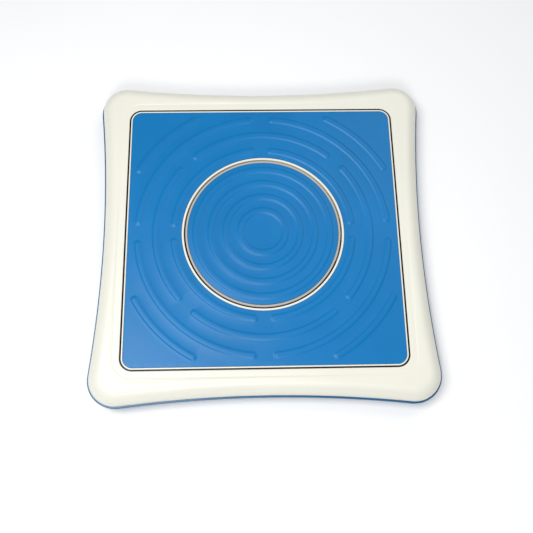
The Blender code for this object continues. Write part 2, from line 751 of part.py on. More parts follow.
def build_drive_pulley(look, axis):
    """Spoked-look disc: belt rim hanging from a web, a hub and the ring that carries the head."""
    rim_low = WEB_TOP - PULLEY_WIDTH
    inner = CARRIER_RADIUS - CARRIER_WIDTH / 2
    outer = CARRIER_RADIUS + CARRIER_WIDTH / 2
    seat = TRAY_BOTTOM - GAP
    seat_edge = 1.2 * MM
    profile = [
        (BORE_RADIUS + RUNNING_GAP, WEB_BOTTOM),
        (PULLEY_RADIUS - 3 * MM, WEB_BOTTOM),
        (PULLEY_RADIUS - 3 * MM, rim_low),
        (PULLEY_RADIUS + PULLEY_LIP, rim_low),
        (PULLEY_RADIUS, rim_low + seat_edge),
        (PULLEY_RADIUS, WEB_TOP - seat_edge),
        (PULLEY_RADIUS + PULLEY_LIP, WEB_TOP),
        (outer, WEB_TOP),
        (outer, seat),
        (inner, seat),
        (inner, WEB_TOP),
        (HUB_RADIUS, WEB_TOP),
        (HUB_RADIUS, HUB_TOP),
        (BORE_RADIUS + RUNNING_GAP, HUB_TOP),
    ]
    pulley = turned("drive_pulley", profile, look["nylon"], ROUND, parent=axis)
    holes = bmesh.new()
    for x, y in wheel_screw_places():
        add_screw_hole(holes, x, y, WEB_BOTTOM - 1 * MM, seat + 1 * MM)
    combine(pulley, holes, "screw_holes", "DIFFERENCE")


def build_bearing(look, level, bottom, wheel_axis, cage_axis):
    """Outer race, inner race and ball cage of one ball bearing."""
    middle = bottom + BEARING_WIDTH / 2
    pitch = (BEARING_RADIUS + BORE_RADIUS) / 2
    land = BALL_RADIUS * 0.83
    groove = BALL_RADIUS + 0.25 * MM
    half = BALL_RADIUS - 0.2 * MM
    top = bottom + BEARING_WIDTH
    outer = [
        (pitch + land, bottom),
        (BEARING_RADIUS, bottom),
        (BEARING_RADIUS, top),
        (pitch + land, top),
        (pitch + land, middle + half),
        (pitch + groove, middle + half / 3),
        (pitch + groove, middle - half / 3),
        (pitch + land, middle - half),
    ]
    turned(f"{level}_outer_race", outer, look["steel"], SMALL_ROUND)
    inner = [
        (BORE_RADIUS + RUNNING_GAP, bottom),
        (pitch - land, bottom),
        (pitch - land, middle - half),
        (pitch - groove, middle - half / 3),
        (pitch - groove, middle + half / 3),
        (pitch - land, middle + half),
        (pitch - land, top),
        (BORE_RADIUS + RUNNING_GAP, top),
    ]
    turned(f"{level}_inner_race", inner, look["steel"], SMALL_ROUND, parent=wheel_axis)
    bm = bmesh.new()
    add_turned(bm, ring_profile(pitch - 0.5 * MM, pitch + 0.5 * MM, middle - 0.9 * MM, middle + 0.9 * MM), 14)
    cage = object_from(bm, f"{level}_ball_cage", look["brass"], parent=cage_axis)
    balls = bmesh.new()
    for ball in range(BALLS):
        turn = math.tau * ball / BALLS
        place = Matrix.Translation((pitch * math.cos(turn), pitch * math.sin(turn), middle))
        bmesh.ops.create_uvsphere(balls, u_segments=6, v_segments=4, radius=BALL_RADIUS, matrix=place)
    combine(cage, balls, "balls", "UNION")


def build_housing(look):
    """Cast housing on the shell's floor, with a bearing pocket at each end."""
    low = FLOOR + GAP
    tube = BEARING_RADIUS + HOUSING_WALL
    pocket = BEARING_RADIUS + RUNNING_GAP
    waist = BEARING_RADIUS - 2 * MM
    lower_stop = LOWER_BEARING + BEARING_WIDTH + GAP
    upper_stop = UPPER_BEARING - GAP
    top = UPPER_BEARING + BEARING_WIDTH
    profile = [
        (pocket, low),
        (HOUSING_FLANGE, low),
        (HOUSING_FLANGE, low + 3 * MM),
        (tube, low + 3 * MM),
        (tube, top),
        (pocket, top),
        (pocket, upper_stop),
        (waist, upper_stop),
        (waist, lower_stop),
        (pocket, lower_stop),
    ]
    housing = turned("bearing_housing", profile, look["zinc"], SMALL_ROUND)
    holes = bmesh.new()
    for x, y in housing_screw_places():
        add_screw_hole(holes, x, y, low - 1 * MM, low + 4 * MM)
    combine(housing, holes, "screw_holes", "DIFFERENCE")
    for number, (x, y) in enumerate(housing_screw_places(), 1):
        profile = screw_profile(low + 3 * MM + GAP, SHELL_BOTTOM + 0.4 * MM)
        turned(f"housing_screw_{number}", profile, look["steel"], SCREW_ROUND, x, y)


def build_belt(look):
    """Flat belt round both pulleys, drawn as an open tangent loop."""
    tangent = math.acos((PULLEY_RADIUS - MOTOR_PULLEY_RADIUS) / MOTOR_X)
    wheel_steps, motor_steps = 24, 8
    wheel = (PULLEY_RADIUS + BELT_GAP) / math.cos((math.pi - tangent) / wheel_steps)
    motor = (MOTOR_PULLEY_RADIUS + BELT_GAP) / math.cos(tangent / motor_steps)
    loops = []
    for thick in (0, BELT_THICK):
        points = []
        for step in range(wheel_steps + 1):
            turn = tangent + (math.tau - 2 * tangent) * step / wheel_steps
            points.append(((wheel + thick) * math.cos(turn), (wheel + thick) * math.sin(turn)))
        for step in range(motor_steps + 1):
            turn = -tangent + 2 * tangent * step / motor_steps
            points.append((MOTOR_X + (motor + thick) * math.cos(turn), (motor + thick) * math.sin(turn)))
        loops.append(points)
    low, high = BELT_HEIGHT - BELT_WIDTH / 2, BELT_HEIGHT + BELT_WIDTH / 2
    bm = bmesh.new()
    lofted(bm, [(loops[0], low), (loops[1], low), (loops[1], high), (loops[0], high)], closed=True)
    object_from(bm, "drive_belt", look["rubber"])


def build_motor(look):
    """Flat motor under its bracket, with the shaft and pulley on the motor's own axis."""
    low = FLOOR + GAP
    top = BRACKET_BOTTOM - GAP
    boss = 5 * MM
    can = [
        (0, low),
        (MOTOR_RADIUS - 1 * MM, low),
        (MOTOR_RADIUS, low + 1 * MM),
        (MOTOR_RADIUS, top),
        (MOTOR_SHAFT_RADIUS + GAP, top),
        (MOTOR_SHAFT_RADIUS + GAP, top - 4 * MM),
        (0, top - 4 * MM),
    ]
    turned("motor_can", can, look["steel"], 20, MOTOR_X, 0)
    axis = axis_empty("motor_axis", (MOTOR_X, 0, 0))
    pulley_low = BELT_HEIGHT - PULLEY_WIDTH / 2
    pulley_top = BELT_HEIGHT + PULLEY_WIDTH / 2
    shaft = [
        (0, top - 4 * MM + GAP),
        (MOTOR_SHAFT_RADIUS, top - 4 * MM + GAP),
        (MOTOR_SHAFT_RADIUS, pulley_top + 1 * MM),
        (0, pulley_top + 1 * MM),
    ]
    turned("motor_shaft", shaft, look["steel"], 12, MOTOR_X, 0, axis)
    bore = MOTOR_SHAFT_RADIUS + RUNNING_GAP
    pulley = [
        (bore, pulley_low),
        (MOTOR_PULLEY_RADIUS + 1.2 * MM, pulley_low),
        (MOTOR_PULLEY_RADIUS, pulley_low + 1 * MM),
        (MOTOR_PULLEY_RADIUS, pulley_top - 1 * MM),
        (MOTOR_PULLEY_RADIUS + 1.2 * MM, pulley_top),
        (bore, pulley_top),
    ]
    turned("motor_pulley", pulley, look["brass"], 16, MOTOR_X, 0, axis)
    plate = bmesh.new()
    reach = BRACKET_HALF + POST_RADIUS + 2 * MM
    add_box(plate, (MOTOR_X - 14 * MM, -reach, BRACKET_BOTTOM), (MOTOR_X + 14 * MM, reach, BRACKET_TOP))
    bracket = object_from(plate, "motor_bracket", look["steel"])
    holes = bmesh.new()
    add_cylinder(holes, MOTOR_X, 0, boss, BRACKET_BOTTOM - 1 * MM, BRACKET_TOP + 1 * MM, 16)
    for x, y in bracket_posts():
        add_screw_hole(holes, x, y, BRACKET_BOTTOM - 1 * MM, BRACKET_TOP + 1 * MM)
    combine(bracket, holes, "holes", "DIFFERENCE")
    for number, (x, y) in enumerate(bracket_posts(), 1):
        profile = screw_profile(BRACKET_TOP + GAP, FLOOR + 4 * MM)
        turned(f"bracket_screw_{number}", profile, look["steel"], SCREW_ROUND, x, y)


def cell_centres():
    first = -(CELLS - 1) * CELL_PITCH / 2
    return [first + number * CELL_PITCH for number in range(CELLS)]


def build_battery_bay(look):
    """Box over the door opening, its cells and contacts, and the screwed door."""
    low = FLOOR + GAP
    top = CELL_Z + CELL_RADIUS + GAP
    bm = bmesh.new()
    flange_low, flange_high = door_box(DOOR_LAP)
    add_box(bm, (*flange_low, low), (*flange_high, low + EAR_THICK))
    box = object_from(bm, "battery_box", look["black"])
    tub = bmesh.new()
    half = (BAY_HALF_X + BOX_WALL, BAY_HALF_Y + BOX_WALL)
    add_box(tub, (BAY_X - half[0], -half[1], low + SINK), (BAY_X + half[0], half[1], top + BOX_WALL))
    combine(box, tub, "tub", "UNION")
    hollow = bmesh.new()
    add_box(
        hollow, (BAY_X - BAY_HALF_X, -BAY_HALF_Y, low - 1 * MM), (BAY_X + BAY_HALF_X, BAY_HALF_Y, top)
    )
    for x, y in door_screw_places():
        add_screw_hole(hollow, x, y, low - 1 * MM, low + EAR_THICK - 1 * MM)
    combine(box, hollow, "hollow", "DIFFERENCE")
    for number, y in enumerate(cell_centres(), 1):
        build_cell(look, number, y)
    for side, name in ((-1, "outer"), (1, "inner")):
        build_contact_strip(look, name, side)
    door_low, door_high = door_box(0)
    panel = bmesh.new()
    add_box(panel, (*door_low, SHELL_BOTTOM), (*door_high, FLOOR))
    door = object_from(panel, "battery_door", look["blue"])
    holes = bmesh.new()
    for x, y in door_screw_places():
        add_sunk_hole(holes, x, y, door_screw_seat(), FLOOR + 1 * MM, SHELL_BOTTOM - 1 * MM)
    combine(door, holes, "screw_holes", "DIFFERENCE")
    for number, (x, y) in enumerate(door_screw_places(), 1):
        profile = screw_profile(door_screw_seat() - GAP, low + EAR_THICK - 1.5 * MM)
        turned(f"door_screw_{number}", profile, look["steel"], SCREW_ROUND, x, y)


def door_screw_places():
    return [(BAY_X, side * (BAY_HALF_Y + BOX_EAR / 2)) for side in (-1, 1)]


def door_screw_seat():
    return SHELL_BOTTOM + SCREW_HEAD_HEIGHT + GAP


def build_cell(look, number, y):
    """One round cell lying along X, its nipple turned the other way on every second cell."""
    half = CELL_LENGTH / 2
    nipple = 2.7 * MM
    profile = [
        (0, -half),
        (CELL_RADIUS, -half),
        (CELL_RADIUS, half - CELL_NIPPLE),
        (nipple, half - CELL_NIPPLE),
        (nipple, half),
        (0, half),
    ]
    bm = bmesh.new()
    add_turned(bm, profile, 14)
    way = 1 if number % 2 else -1
    bmesh.ops.rotate(bm, verts=bm.verts, matrix=Matrix.Rotation(way * math.pi / 2, 3, "Y"))
    bmesh.ops.translate(bm, verts=bm.verts, vec=(BAY_X, y, CELL_Z))
    object_from(bm, f"battery_cell_{number}", look["cell"], origin=(BAY_X, y, CELL_Z))


def build_contact_strip(look, name, side):
    """Sprung strip with a cone pressed against each cell's end."""
    back = BAY_X + side * (BAY_HALF_X - GAP)
    face = back - side * 0.5 * MM
    bm = bmesh.new()
    low = CELL_Z - 5 * MM
    high = CELL_Z + 5 * MM
    reach = BAY_HALF_Y - 1 * MM
    add_box(bm, (min(back, face), -reach, low), (max(back, face), reach, high))
    strip = object_from(bm, f"contact_strip_{name}", look["brass"])
    cones = bmesh.new()
    tip = BAY_X + side * (CELL_LENGTH / 2 + GAP)
    length = abs(face - tip) + 0.2 * MM
    for y in cell_centres():
        place = Matrix.Translation(((face + tip) / 2 + side * 0.1 * MM, y, CELL_Z))
        turn = Matrix.Rotation(-side * math.pi / 2, 4, "Y")
        bmesh.ops.create_cone(
            cones, cap_ends=True, segments=8, radius1=3.2 * MM, radius2=1.2 * MM, depth=length, matrix=place @ turn
        )
    combine(strip, cones, "cones", "UNION")


def build_controls(look):
    """Board on its posts, the dial under its potentiometer, and the slide switch."""
    low, high = board_box()
    bm = bmesh.new()
    add_box(bm, low, high)
    board = object_from(bm, "control_board", look["board"])
    parts = bmesh.new()
    middle = (low.y + high.y) / 2
    add_box(parts, (low.x + 12 * MM, middle, high.z - SINK), (low.x + 26 * MM, middle + 7 * MM, high.z + 3 * MM))
    add_box(parts, (low.x + 34 * MM, middle, high.z - SINK), (low.x + 40 * MM, middle + 5 * MM, high.z + 2 * MM))
    combine(board, parts, "chips", "UNION")
    dial_x, dial_y, dial_z = dial_centre()
    pot_low = dial_z + DIAL_THICK / 2 + 0.5 * MM
    pot_half = 6 * MM
    pot = bmesh.new()
    add_box(pot, (dial_x - pot_half, dial_y - 3 * MM, pot_low), (dial_x + pot_half, dial_y + 9 * MM, low.z - GAP))
    body = object_from(pot, "potentiometer", look["black"])
    bore = bmesh.new()
    pin = 2 * MM
    pin_top = pot_low + 3 * MM
    add_cylinder(bore, dial_x, dial_y, pin + GAP, pot_low - 1 * MM, pin_top + GAP, 12)
    combine(body, bore, "bore", "DIFFERENCE")
    build_dial(look, (dial_x, dial_y, dial_z), pin, pin_top)
    build_switch(look, low.z - GAP)


def build_dial(look, centre, pin, pin_top):
    """Knurled thumbwheel with the pin that turns in the potentiometer."""
    x, y, z = centre
    low = z - DIAL_THICK / 2
    steps = 2 * DIAL_TEETH
    radii = [DIAL_RADIUS if step % 2 else DIAL_RADIUS - 0.8 * MM for step in range(steps)]
    points = [
        (x + radius * math.cos(math.tau * step / steps), y + radius * math.sin(math.tau * step / steps))
        for step, radius in enumerate(radii)
    ]
    bm = bmesh.new()
    lofted(bm, [(points, low), (points, low + DIAL_THICK)], closed=False)
    dial = object_from(bm, "speed_dial", look["rubber"], origin=centre)
    stub = bmesh.new()
    add_cylinder(stub, x, y, pin, z, pin_top, 12)
    combine(dial, stub, "pin", "UNION")


def build_switch(look, top):
    """Slide switch: a fixed housing behind the wall and the knob that slides along X."""
    wall = switch_face() + SHELL_WALL + 2.5 * MM
    middle = SWITCH_X + SWITCH_TRAVEL / 2
    half = 8 * MM
    depth = 7 * MM
    stem_depth = 3 * MM
    tall = SWITCH_KNOB[1] / 2
    bm = bmesh.new()
    add_box(bm, (middle - half, wall, DIAL_Z - 3.4 * MM), (middle + half, wall + depth, top))
    housing = object_from(bm, "switch_housing", look["black"])
    track = bmesh.new()
    side = SWITCH_KNOB[0] / 2
    add_box(
        track,
        (SWITCH_X - side - GAP, wall - 1 * MM, DIAL_Z - tall - GAP),
        (SWITCH_X + side + SWITCH_TRAVEL + GAP, wall + stem_depth + GAP, DIAL_Z + tall + GAP),
    )
    combine(housing, track, "track", "DIFFERENCE")
    knob = bmesh.new()
    add_box(
        knob,
        (SWITCH_X - side, switch_face() - 2 * MM, DIAL_Z - tall),
        (SWITCH_X + side, wall + stem_depth, DIAL_Z + tall),
    )
    sharp = [edge for edge in knob.edges if all(vert.co.y < switch_face() for vert in edge.verts)]
    bmesh.ops.bevel(knob, geom=sharp, offset=0.5 * MM, segments=1, profile=0.5, affect="EDGES")
    object_from(knob, "power_switch", look["rubber"], origin=(SWITCH_X, switch_face(), DIAL_Z))


def build_lead(look, name, route, radius=1.1 * MM):
    """A two-core lead drawn as one round cord through the route's points."""
    curve = bpy.data.curves.new(name, "CURVE")
    curve.dimensions = "3D"
    curve.bevel_depth = radius
    curve.bevel_resolution = 2
    curve.use_fill_caps = True
    spline = curve.splines.new("POLY")
    steps = 14
    spline.points.add(steps - 1)
    for number in range(steps):
        place = smooth_point(route, number / (steps - 1))
        spline.points[number].co = (*place, 1)
    curve.materials.append(look["wire"])
    lead = bpy.data.objects.new(name, curve)
    bpy.context.collection.objects.link(lead)


def smooth_point(route, along):
    """A point on the Bezier curve whose control points are the route's."""
    points = [Vector(point) for point in route]
    while len(points) > 1:
        points = [first.lerp(second, along) for first, second in zip(points, points[1:])]
    return points[0]


def build_leads(look):
    """From the battery box and the motor to the board, along the shell's floor."""
    low, high = board_box()
    run = FLOOR + 2.5 * MM
    back = high.y + 1.6 * MM
    battery_end = (BAY_X + BAY_HALF_X + DOOR_LAP + 1.6 * MM, -BAY_HALF_Y * 0.6, run)
    build_lead(
        look,
        "battery_lead",
        [
            battery_end,
            (battery_end[0] + 12 * MM, battery_end[1] - 25 * MM, run),
            (-DECK_POST_AT * 0.4, -DECK_POST_AT - 10 * MM, run),
            (low.x - 20 * MM, -DECK_POST_AT - 14 * MM, run),
            (low.x + 20 * MM, back + 12 * MM, run),
            (low.x + 20 * MM, back, low.z),
        ],
    )
    motor_side = -(MOTOR_RADIUS + 1.6 * MM)
    build_lead(
        look,
        "motor_lead",
        [
            (MOTOR_X - 12 * MM, motor_side + 2 * MM, run),
            (MOTOR_X - 22 * MM, motor_side - 22 * MM, run),
            (high.x - 22 * MM, back + 34 * MM, run),
            (high.x - 22 * MM, back + 10 * MM, run),
            (high.x - 22 * MM, back, low.z),
        ],
    )


def build_case_screws(look):
    for number, (x, y) in enumerate(case_screw_places(), 1):
        tip = FLANGE_BOTTOM + CASE_SCREW_LENGTH - 1 * MM
        profile = screw_profile(FLANGE_BOTTOM - GAP, tip)
        turned(f"case_screw_{number}", profile, look["steel"], SCREW_ROUND, x, y)


def build_feet(look):
    """Rubber feet: a pad under the shell and a plug with a barb above its floor."""
    for number, (x, y) in enumerate(foot_places(), 1):
        profile = [
            (0, 0),
            (FOOT_RADIUS - 0.8 * MM, 0),
            (FOOT_RADIUS, 0.8 * MM),
            (FOOT_RADIUS, SHELL_BOTTOM - GAP),
            (FOOT_PLUG, SHELL_BOTTOM - GAP),
            (FOOT_PLUG, FLOOR + GAP),
            (FOOT_PLUG + 1 * MM, FLOOR + GAP),
            (FOOT_PLUG - 1 * MM, FLOOR + 3 * MM),
            (0, FLOOR + 3 * MM),
        ]
        turned(f"foot_{number}", profile, look["rubber"], FOOT_ROUND, x, y)


def main():
    clear_scene()
    look = finishes()
    wheel_axis = axis_empty("wheel_axis", (0, 0, 0))
    deck_guide = axis_empty("deck_guide", (0, 0, 0))
    build_base_shell(look)
    build_surround(look)
    build_deck_tray(look, deck_guide)
    build_deck_mat(look, deck_guide)
    build_wheel(look, wheel_axis)
    build_spindle(look, wheel_axis)
    build_drive_pulley(look, wheel_axis)
    build_housing(look)
    for level, bottom in (("lower", LOWER_BEARING), ("upper", UPPER_BEARING)):
        cage_axis = axis_empty(f"{level}_cage_axis", (0, 0, bottom))
        build_bearing(look, level, bottom, wheel_axis, cage_axis)
    build_belt(look)
    build_motor(look)
    build_battery_bay(look)
    build_controls(look)
    build_leads(look)
    build_case_screws(look)
    build_feet(look)


main()
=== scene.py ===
"""Finishes a low table-top pottery wheel on its packed frame.

Fine shapes and finishes stand in for the frame's plain solids, on a pale table
under soft light. Each group of pieces is one operator, listed in the sidebar of
the 3D view. Units are metres, +Z is up, and the origin is on the table under
the wheel's axis.
"""

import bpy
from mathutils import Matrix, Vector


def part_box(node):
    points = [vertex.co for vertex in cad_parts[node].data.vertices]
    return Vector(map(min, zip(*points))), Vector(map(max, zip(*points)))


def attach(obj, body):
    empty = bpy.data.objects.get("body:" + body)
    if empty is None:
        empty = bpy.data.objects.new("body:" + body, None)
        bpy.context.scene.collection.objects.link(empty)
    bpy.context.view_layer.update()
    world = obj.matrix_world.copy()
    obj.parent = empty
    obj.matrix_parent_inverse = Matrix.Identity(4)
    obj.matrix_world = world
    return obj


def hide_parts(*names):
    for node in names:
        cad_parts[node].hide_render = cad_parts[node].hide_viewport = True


bl_info = {
    "name": "Pottery Wheel Finish",
    "version": (1, 0, 0),
    "blender": (4, 5, 0),
    "location": "3D View > Sidebar > Pottery Wheel",
    "description": "Builds the finished shapes, materials and stage of a table-top pottery wheel",
    "category": "Add Mesh",
}

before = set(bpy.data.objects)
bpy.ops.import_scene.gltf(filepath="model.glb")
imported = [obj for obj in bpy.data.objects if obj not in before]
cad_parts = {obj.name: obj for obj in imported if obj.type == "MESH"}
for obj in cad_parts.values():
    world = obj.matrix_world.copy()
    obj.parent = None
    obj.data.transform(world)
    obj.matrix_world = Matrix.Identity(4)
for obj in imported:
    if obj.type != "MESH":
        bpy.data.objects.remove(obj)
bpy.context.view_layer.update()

import functools
import math

import bmesh
import bpy
from bpy.props import FloatProperty, FloatVectorProperty, IntProperty, PointerProperty
from bpy.types import Operator, Panel, PropertyGroup
from mathutils import Matrix, Vector

MM = 0.001
UP = (0, 0, 1)

# Clearances, as in the frame
GAP = 0.3 * MM
RUNNING_GAP = 0.15 * MM
DECK_GAP = 1.9 * MM

# Facets of the fine shapes
SIDE_STEPS = 24
CORNER_STEPS = 16
ROUND = 192
SMALL_ROUND = 64
SCREW_ROUND = 32
EDGE = 0.25 * MM  # rounding of small moulded and machined edges
SHARP = math.radians(35)


@functools.cache
def low(node):
    return Vector(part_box(node)[0]).freeze()


@functools.cache
def high(node):
    return Vector(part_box(node)[1]).freeze()


# Sizes that the frame gives
DECK_HALF = high("deck_mat").x
TRAY_HALF = high("deck_tray").x
OPENING_HALF = TRAY_HALF + DECK_GAP
SHELL_BOTTOM = low("base_shell").z
SEAT_TOP = high("base_shell").z
CREST = high("top_surround").z
MAT_BOTTOM = low("deck_mat").z
TRAY_TOP = MAT_BOTTOM - GAP
WHEEL_RADIUS = high("wheel_head").x
WHEEL_MAT_RADIUS = high("wheel_mat").x
BEARING_RADIUS = high("upper_outer_race").x
MOTOR_X = (low("motor_can").x + high("motor_can").x) / 2
CARRIER_TOP = high("drive_pulley").z


# ------------------------------------------------------------------ settings


def length(name, description, default):
    """A length setting, shown to a tenth of a millimetre."""
    return FloatProperty(
        name=name, description=description, default=default, unit="LENGTH", precision=4
    )


class BodySizes(PropertyGroup):
    """Moulded shell, surround and deck"""

    surround_width: length(
        "Surround width",
        "From the deck's opening to the rim, at the middle of a side",
        29 * MM,
    )
    side_radius: FloatProperty(
        name="Side radius", description="Radius of the hollow sides", default=1.45, unit="LENGTH"
    )
    corner_radius: length(
        "Corner radius",
        "Radius of the body's corners",
        33 * MM,
    )
    roll_width: length(
        "Roll width",
        "Width of the surround's rolled edge",
        17 * MM,
    )
    crease_offset: length(
        "Crease",
        "From the deck's opening to the crease in the surround",
        7.7 * MM,
    )
    rim_height: length(
        "Rim height",
        "Height of the shell's rim over its flange",
        6.4 * MM,
    )
    flange_rise: length(
        "Flange rise",
        "From the shell's underside to its flange",
        13 * MM,
    )


class MatSizes(PropertyGroup):
    """Raised rings of the rubber mats"""

    mat_thickness: length(
        "Thickness",
        "Thickness of both mats",
        1.6 * MM,
    )
    rib_width: length(
        "Ring width",
        "Width of a raised ring at its foot",
        9.8 * MM,
    )
    rib_crest: length(
        "Ring crest",
        "Width of a raised ring's level top",
        3.8 * MM,
    )
    head_ribs: IntProperty(name="Head rings", description="Raised rings on the wheel head", default=4, min=1)
    first_rib: length(
        "First ring",
        "Radius of the head's inner ring",
        26.7 * MM,
    )
    rib_margin: length(
        "Ring margin",
        "From the head's outer ring to its mat's edge",
        9.8 * MM,
    )
    arc_start: length(
        "Arc start",
        "From the deck mat's hole to its first arcs",
        9.2 * MM,
    )
    arc_margin: length(
        "Arc margin",
        "From the third arcs to the deck mat's edge",
        11.2 * MM,
    )
    arc_break: FloatProperty(
        name="Arc break", description="From an arc's end to the middle of the break",
        default=math.radians(3.5), subtype="ANGLE",
    )
    corner_margin: length(
        "Corner margin",
        "From the corner arcs' ends to the deck mat's edge",
        4 * MM,
    )


class PieceColours(PropertyGroup):
    """Colours of the moulded pieces"""

    cream: FloatVectorProperty(
        name="Cream plastic", description="Surround and deck tray",
        default=(0.88, 0.87, 0.77), subtype="COLOR", min=0, max=1,
    )
    # Painted shade: the wheel head takes the cream colour darkened to about half, standing in for the shade
    # on its lip.
    head: FloatVectorProperty(
        name="Cream darkened as shade", description="Wheel head", default=(0.50, 0.47, 0.41), subtype="COLOR",
        min=0, max=1,
    )
    blue: FloatVectorProperty(
        name="Blue plastic", description="Lower shell and battery door",
        default=(0.004, 0.11, 0.25), subtype="COLOR", min=0, max=1,
    )
    mat: FloatVectorProperty(
        name="Blue rubber", description="Both mats", default=(0.003, 0.190, 0.50), subtype="COLOR",
        min=0, max=1,
    )
    table: FloatVectorProperty(
        name="Table", description="Plain pale floor", default=(0.93, 0.94, 0.95), subtype="COLOR",
        min=0, max=1,
    )


class StageLook(PropertyGroup):
    """Camera and lights"""

    azimuth: FloatProperty(
        name="Azimuth", description="Side from which the camera looks", default=math.radians(-4.667),
        subtype="ANGLE",
    )
    elevation: FloatProperty(
        name="Elevation", description="Height of the camera over the table, as an angle",
        default=math.radians(72.64), subtype="ANGLE",
    )
    roll: FloatProperty(
        name="Roll", description="Tilt of the camera about its line of sight",
        default=math.radians(3.716), subtype="ANGLE",
    )
    distance: FloatProperty(
        name="Distance", description="From the camera to its target", default=0.784, unit="LENGTH"
    )
    lens: FloatProperty(name="Lens", description="Focal length in millimetres", default=45.29)
    key_power: FloatProperty(
        name="Key light", description="Soft light high on the left", default=8.9, unit="POWER"
    )
    back_power: FloatProperty(
        name="Back light", description="Soft light behind and to the right", default=4.4, unit="POWER"
    )
    front_power: FloatProperty(
        name="Front light", description="Small light that picks out the raised rings", default=4.9,
        unit="POWER",
    )
    sky: FloatProperty(name="Sky", description="Strength of the even light all round", default=0.23)


# ----------------------------------------------------------------- materials


def add_node(tree, kind, **values):
    """Adds a shader node, with its inputs set by name."""
    made = tree.nodes.new(kind)
    for name, value in values.items():
        made.inputs[name.replace("_", " ")].default_value = value
    return made


def varied(tree, source, values):
    """Turns a 0 to 1 source into a number between two values."""
    spread = add_node(tree, "ShaderNodeMapRange", To_Min=values[0], To_Max=values[1])
    tree.links.new(source, spread.inputs["Value"])
    return spread.outputs["Result"]


def noise(tree, place, scale, detail=2.0):
    made = add_node(tree, "ShaderNodeTexNoise", Scale=scale, Detail=detail)
    tree.links.new(place, made.inputs["Vector"])
    return made.outputs["Fac"]


def tinted(tree, source, colour, spread):
    """A colour that drifts a little darker and lighter with the source."""
    ramp = tree.nodes.new("ShaderNodeValToRGB")
    ramp.color_ramp.elements[0].position = 0.3
    ramp.color_ramp.elements[1].position = 0.7
    ramp.color_ramp.elements[0].color = (*[channel * (1 - spread) for channel in colour], 1)
    ramp.color_ramp.elements[1].color = (*[min(1, channel * (1 + spread)) for channel in colour], 1)
    tree.links.new(source, ramp.inputs["Fac"])
    return ramp.outputs["Color"]


def relief(tree, shader, height, strength, depth, under=None):
    """Adds fine relief to the shader, over an earlier one where there is one."""
    bump = add_node(tree, "ShaderNodeBump", Strength=strength, Distance=depth)
    tree.links.new(height, bump.inputs["Height"])
    if under:
        tree.links.new(under, bump.inputs["Normal"])
    tree.links.new(bump.outputs["Normal"], shader.inputs["Normal"])
    return bump.outputs["Normal"]


def started(name, colour, roughness, metallic=0.0):
    """A Principled material with the parts that every finish here starts from."""
    made = bpy.data.materials.new(name)
    made.use_nodes = True
    made.diffuse_color = (*colour, 1)
    tree = made.node_tree
    shader = tree.nodes["Principled BSDF"]
    shader.inputs["Base Color"].default_value = (*colour, 1)
    shader.inputs["Roughness"].default_value = roughness
    shader.inputs["Metallic"].default_value = metallic
    place = tree.nodes.new("ShaderNodeTexCoord").outputs["Object"]
    return made, tree, shader, place


def moulded_plastic(name, colour, roughness, drift=0.015, grain=0.012):
    """Injection-moulded plastic: a faint flow in its colour and gloss, and a satin grain."""
    made, tree, shader, place = started(name, colour, roughness)
    flow = noise(tree, place, 9)
    tree.links.new(tinted(tree, flow, colour, drift), shader.inputs["Base Color"])
    tree.links.new(varied(tree, flow, (roughness - 0.04, roughness + 0.04)), shader.inputs["Roughness"])
    relief(tree, shader, noise(tree, place, 1400), 0.35, grain * MM)
    return made


def mat_rubber(name, colour, roughness=0.36, pitch=1.0 * MM):
    """Moulded rubber with a fine cross-woven face."""
    made, tree, shader, place = started(name, colour, roughness)
    shader.inputs["Specular IOR Level"].default_value = 0.3
    worn = noise(tree, place, 14, 4)
    tree.links.new(tinted(tree, worn, colour, 0.05), shader.inputs["Base Color"])
    tree.links.new(varied(tree, worn, (roughness - 0.04, roughness + 0.05)), shader.inputs["Roughness"])
    threads = []
    for direction in ("X", "Y"):
        wave = add_node(tree, "ShaderNodeTexWave", Scale=math.tau / (20 * pitch))
        wave.bands_direction = direction
        tree.links.new(place, wave.inputs["Vector"])
        threads.append(wave.outputs["Fac"])
    cross = tree.nodes.new("ShaderNodeMath")
    cross.operation = "MULTIPLY"
    tree.links.new(threads[0], cross.inputs[0])
    tree.links.new(threads[1], cross.inputs[1])
    grain = relief(tree, shader, noise(tree, place, 1100), 0.3, 0.03 * MM)
    relief(tree, shader, cross.outputs["Value"], 0.4, 0.05 * MM, grain)
    return made


def plain_rubber(name, colour, roughness=0.75):
    made, tree, shader, place = started(name, colour, roughness)
    dust = noise(tree, place, 60, 5)
    tree.links.new(tinted(tree, dust, colour, 0.25), shader.inputs["Base Color"])
    relief(tree, shader, noise(tree, place, 900), 0.4, 0.03 * MM)
    return made


def worked_metal(name, colour, roughness, depth=0.004):
    """Turned or pressed metal: fine scratches and patchy gloss."""
    made, tree, shader, place = started(name, colour, roughness, 1.0)
    patches = noise(tree, place, 80, 4)
    tree.links.new(tinted(tree, patches, colour, 0.04), shader.inputs["Base Color"])
    tree.links.new(varied(tree, patches, (roughness - 0.07, roughness + 0.09)), shader.inputs["Roughness"])
    stretched = add_node(tree, "ShaderNodeMapping", Scale=(60, 60, 2500))
    tree.links.new(place, stretched.inputs["Vector"])
    relief(tree, shader, noise(tree, stretched.outputs["Vector"], 1), 0.3, depth * MM)
    return made


def cast_metal(name, colour, roughness):
    """Sand-grained casting."""
    made, tree, shader, place = started(name, colour, roughness, 1.0)
    grain = noise(tree, place, 700, 6)
    tree.links.new(tinted(tree, grain, colour, 0.12), shader.inputs["Base Color"])
    relief(tree, shader, grain, 0.6, 0.06 * MM)
    return made


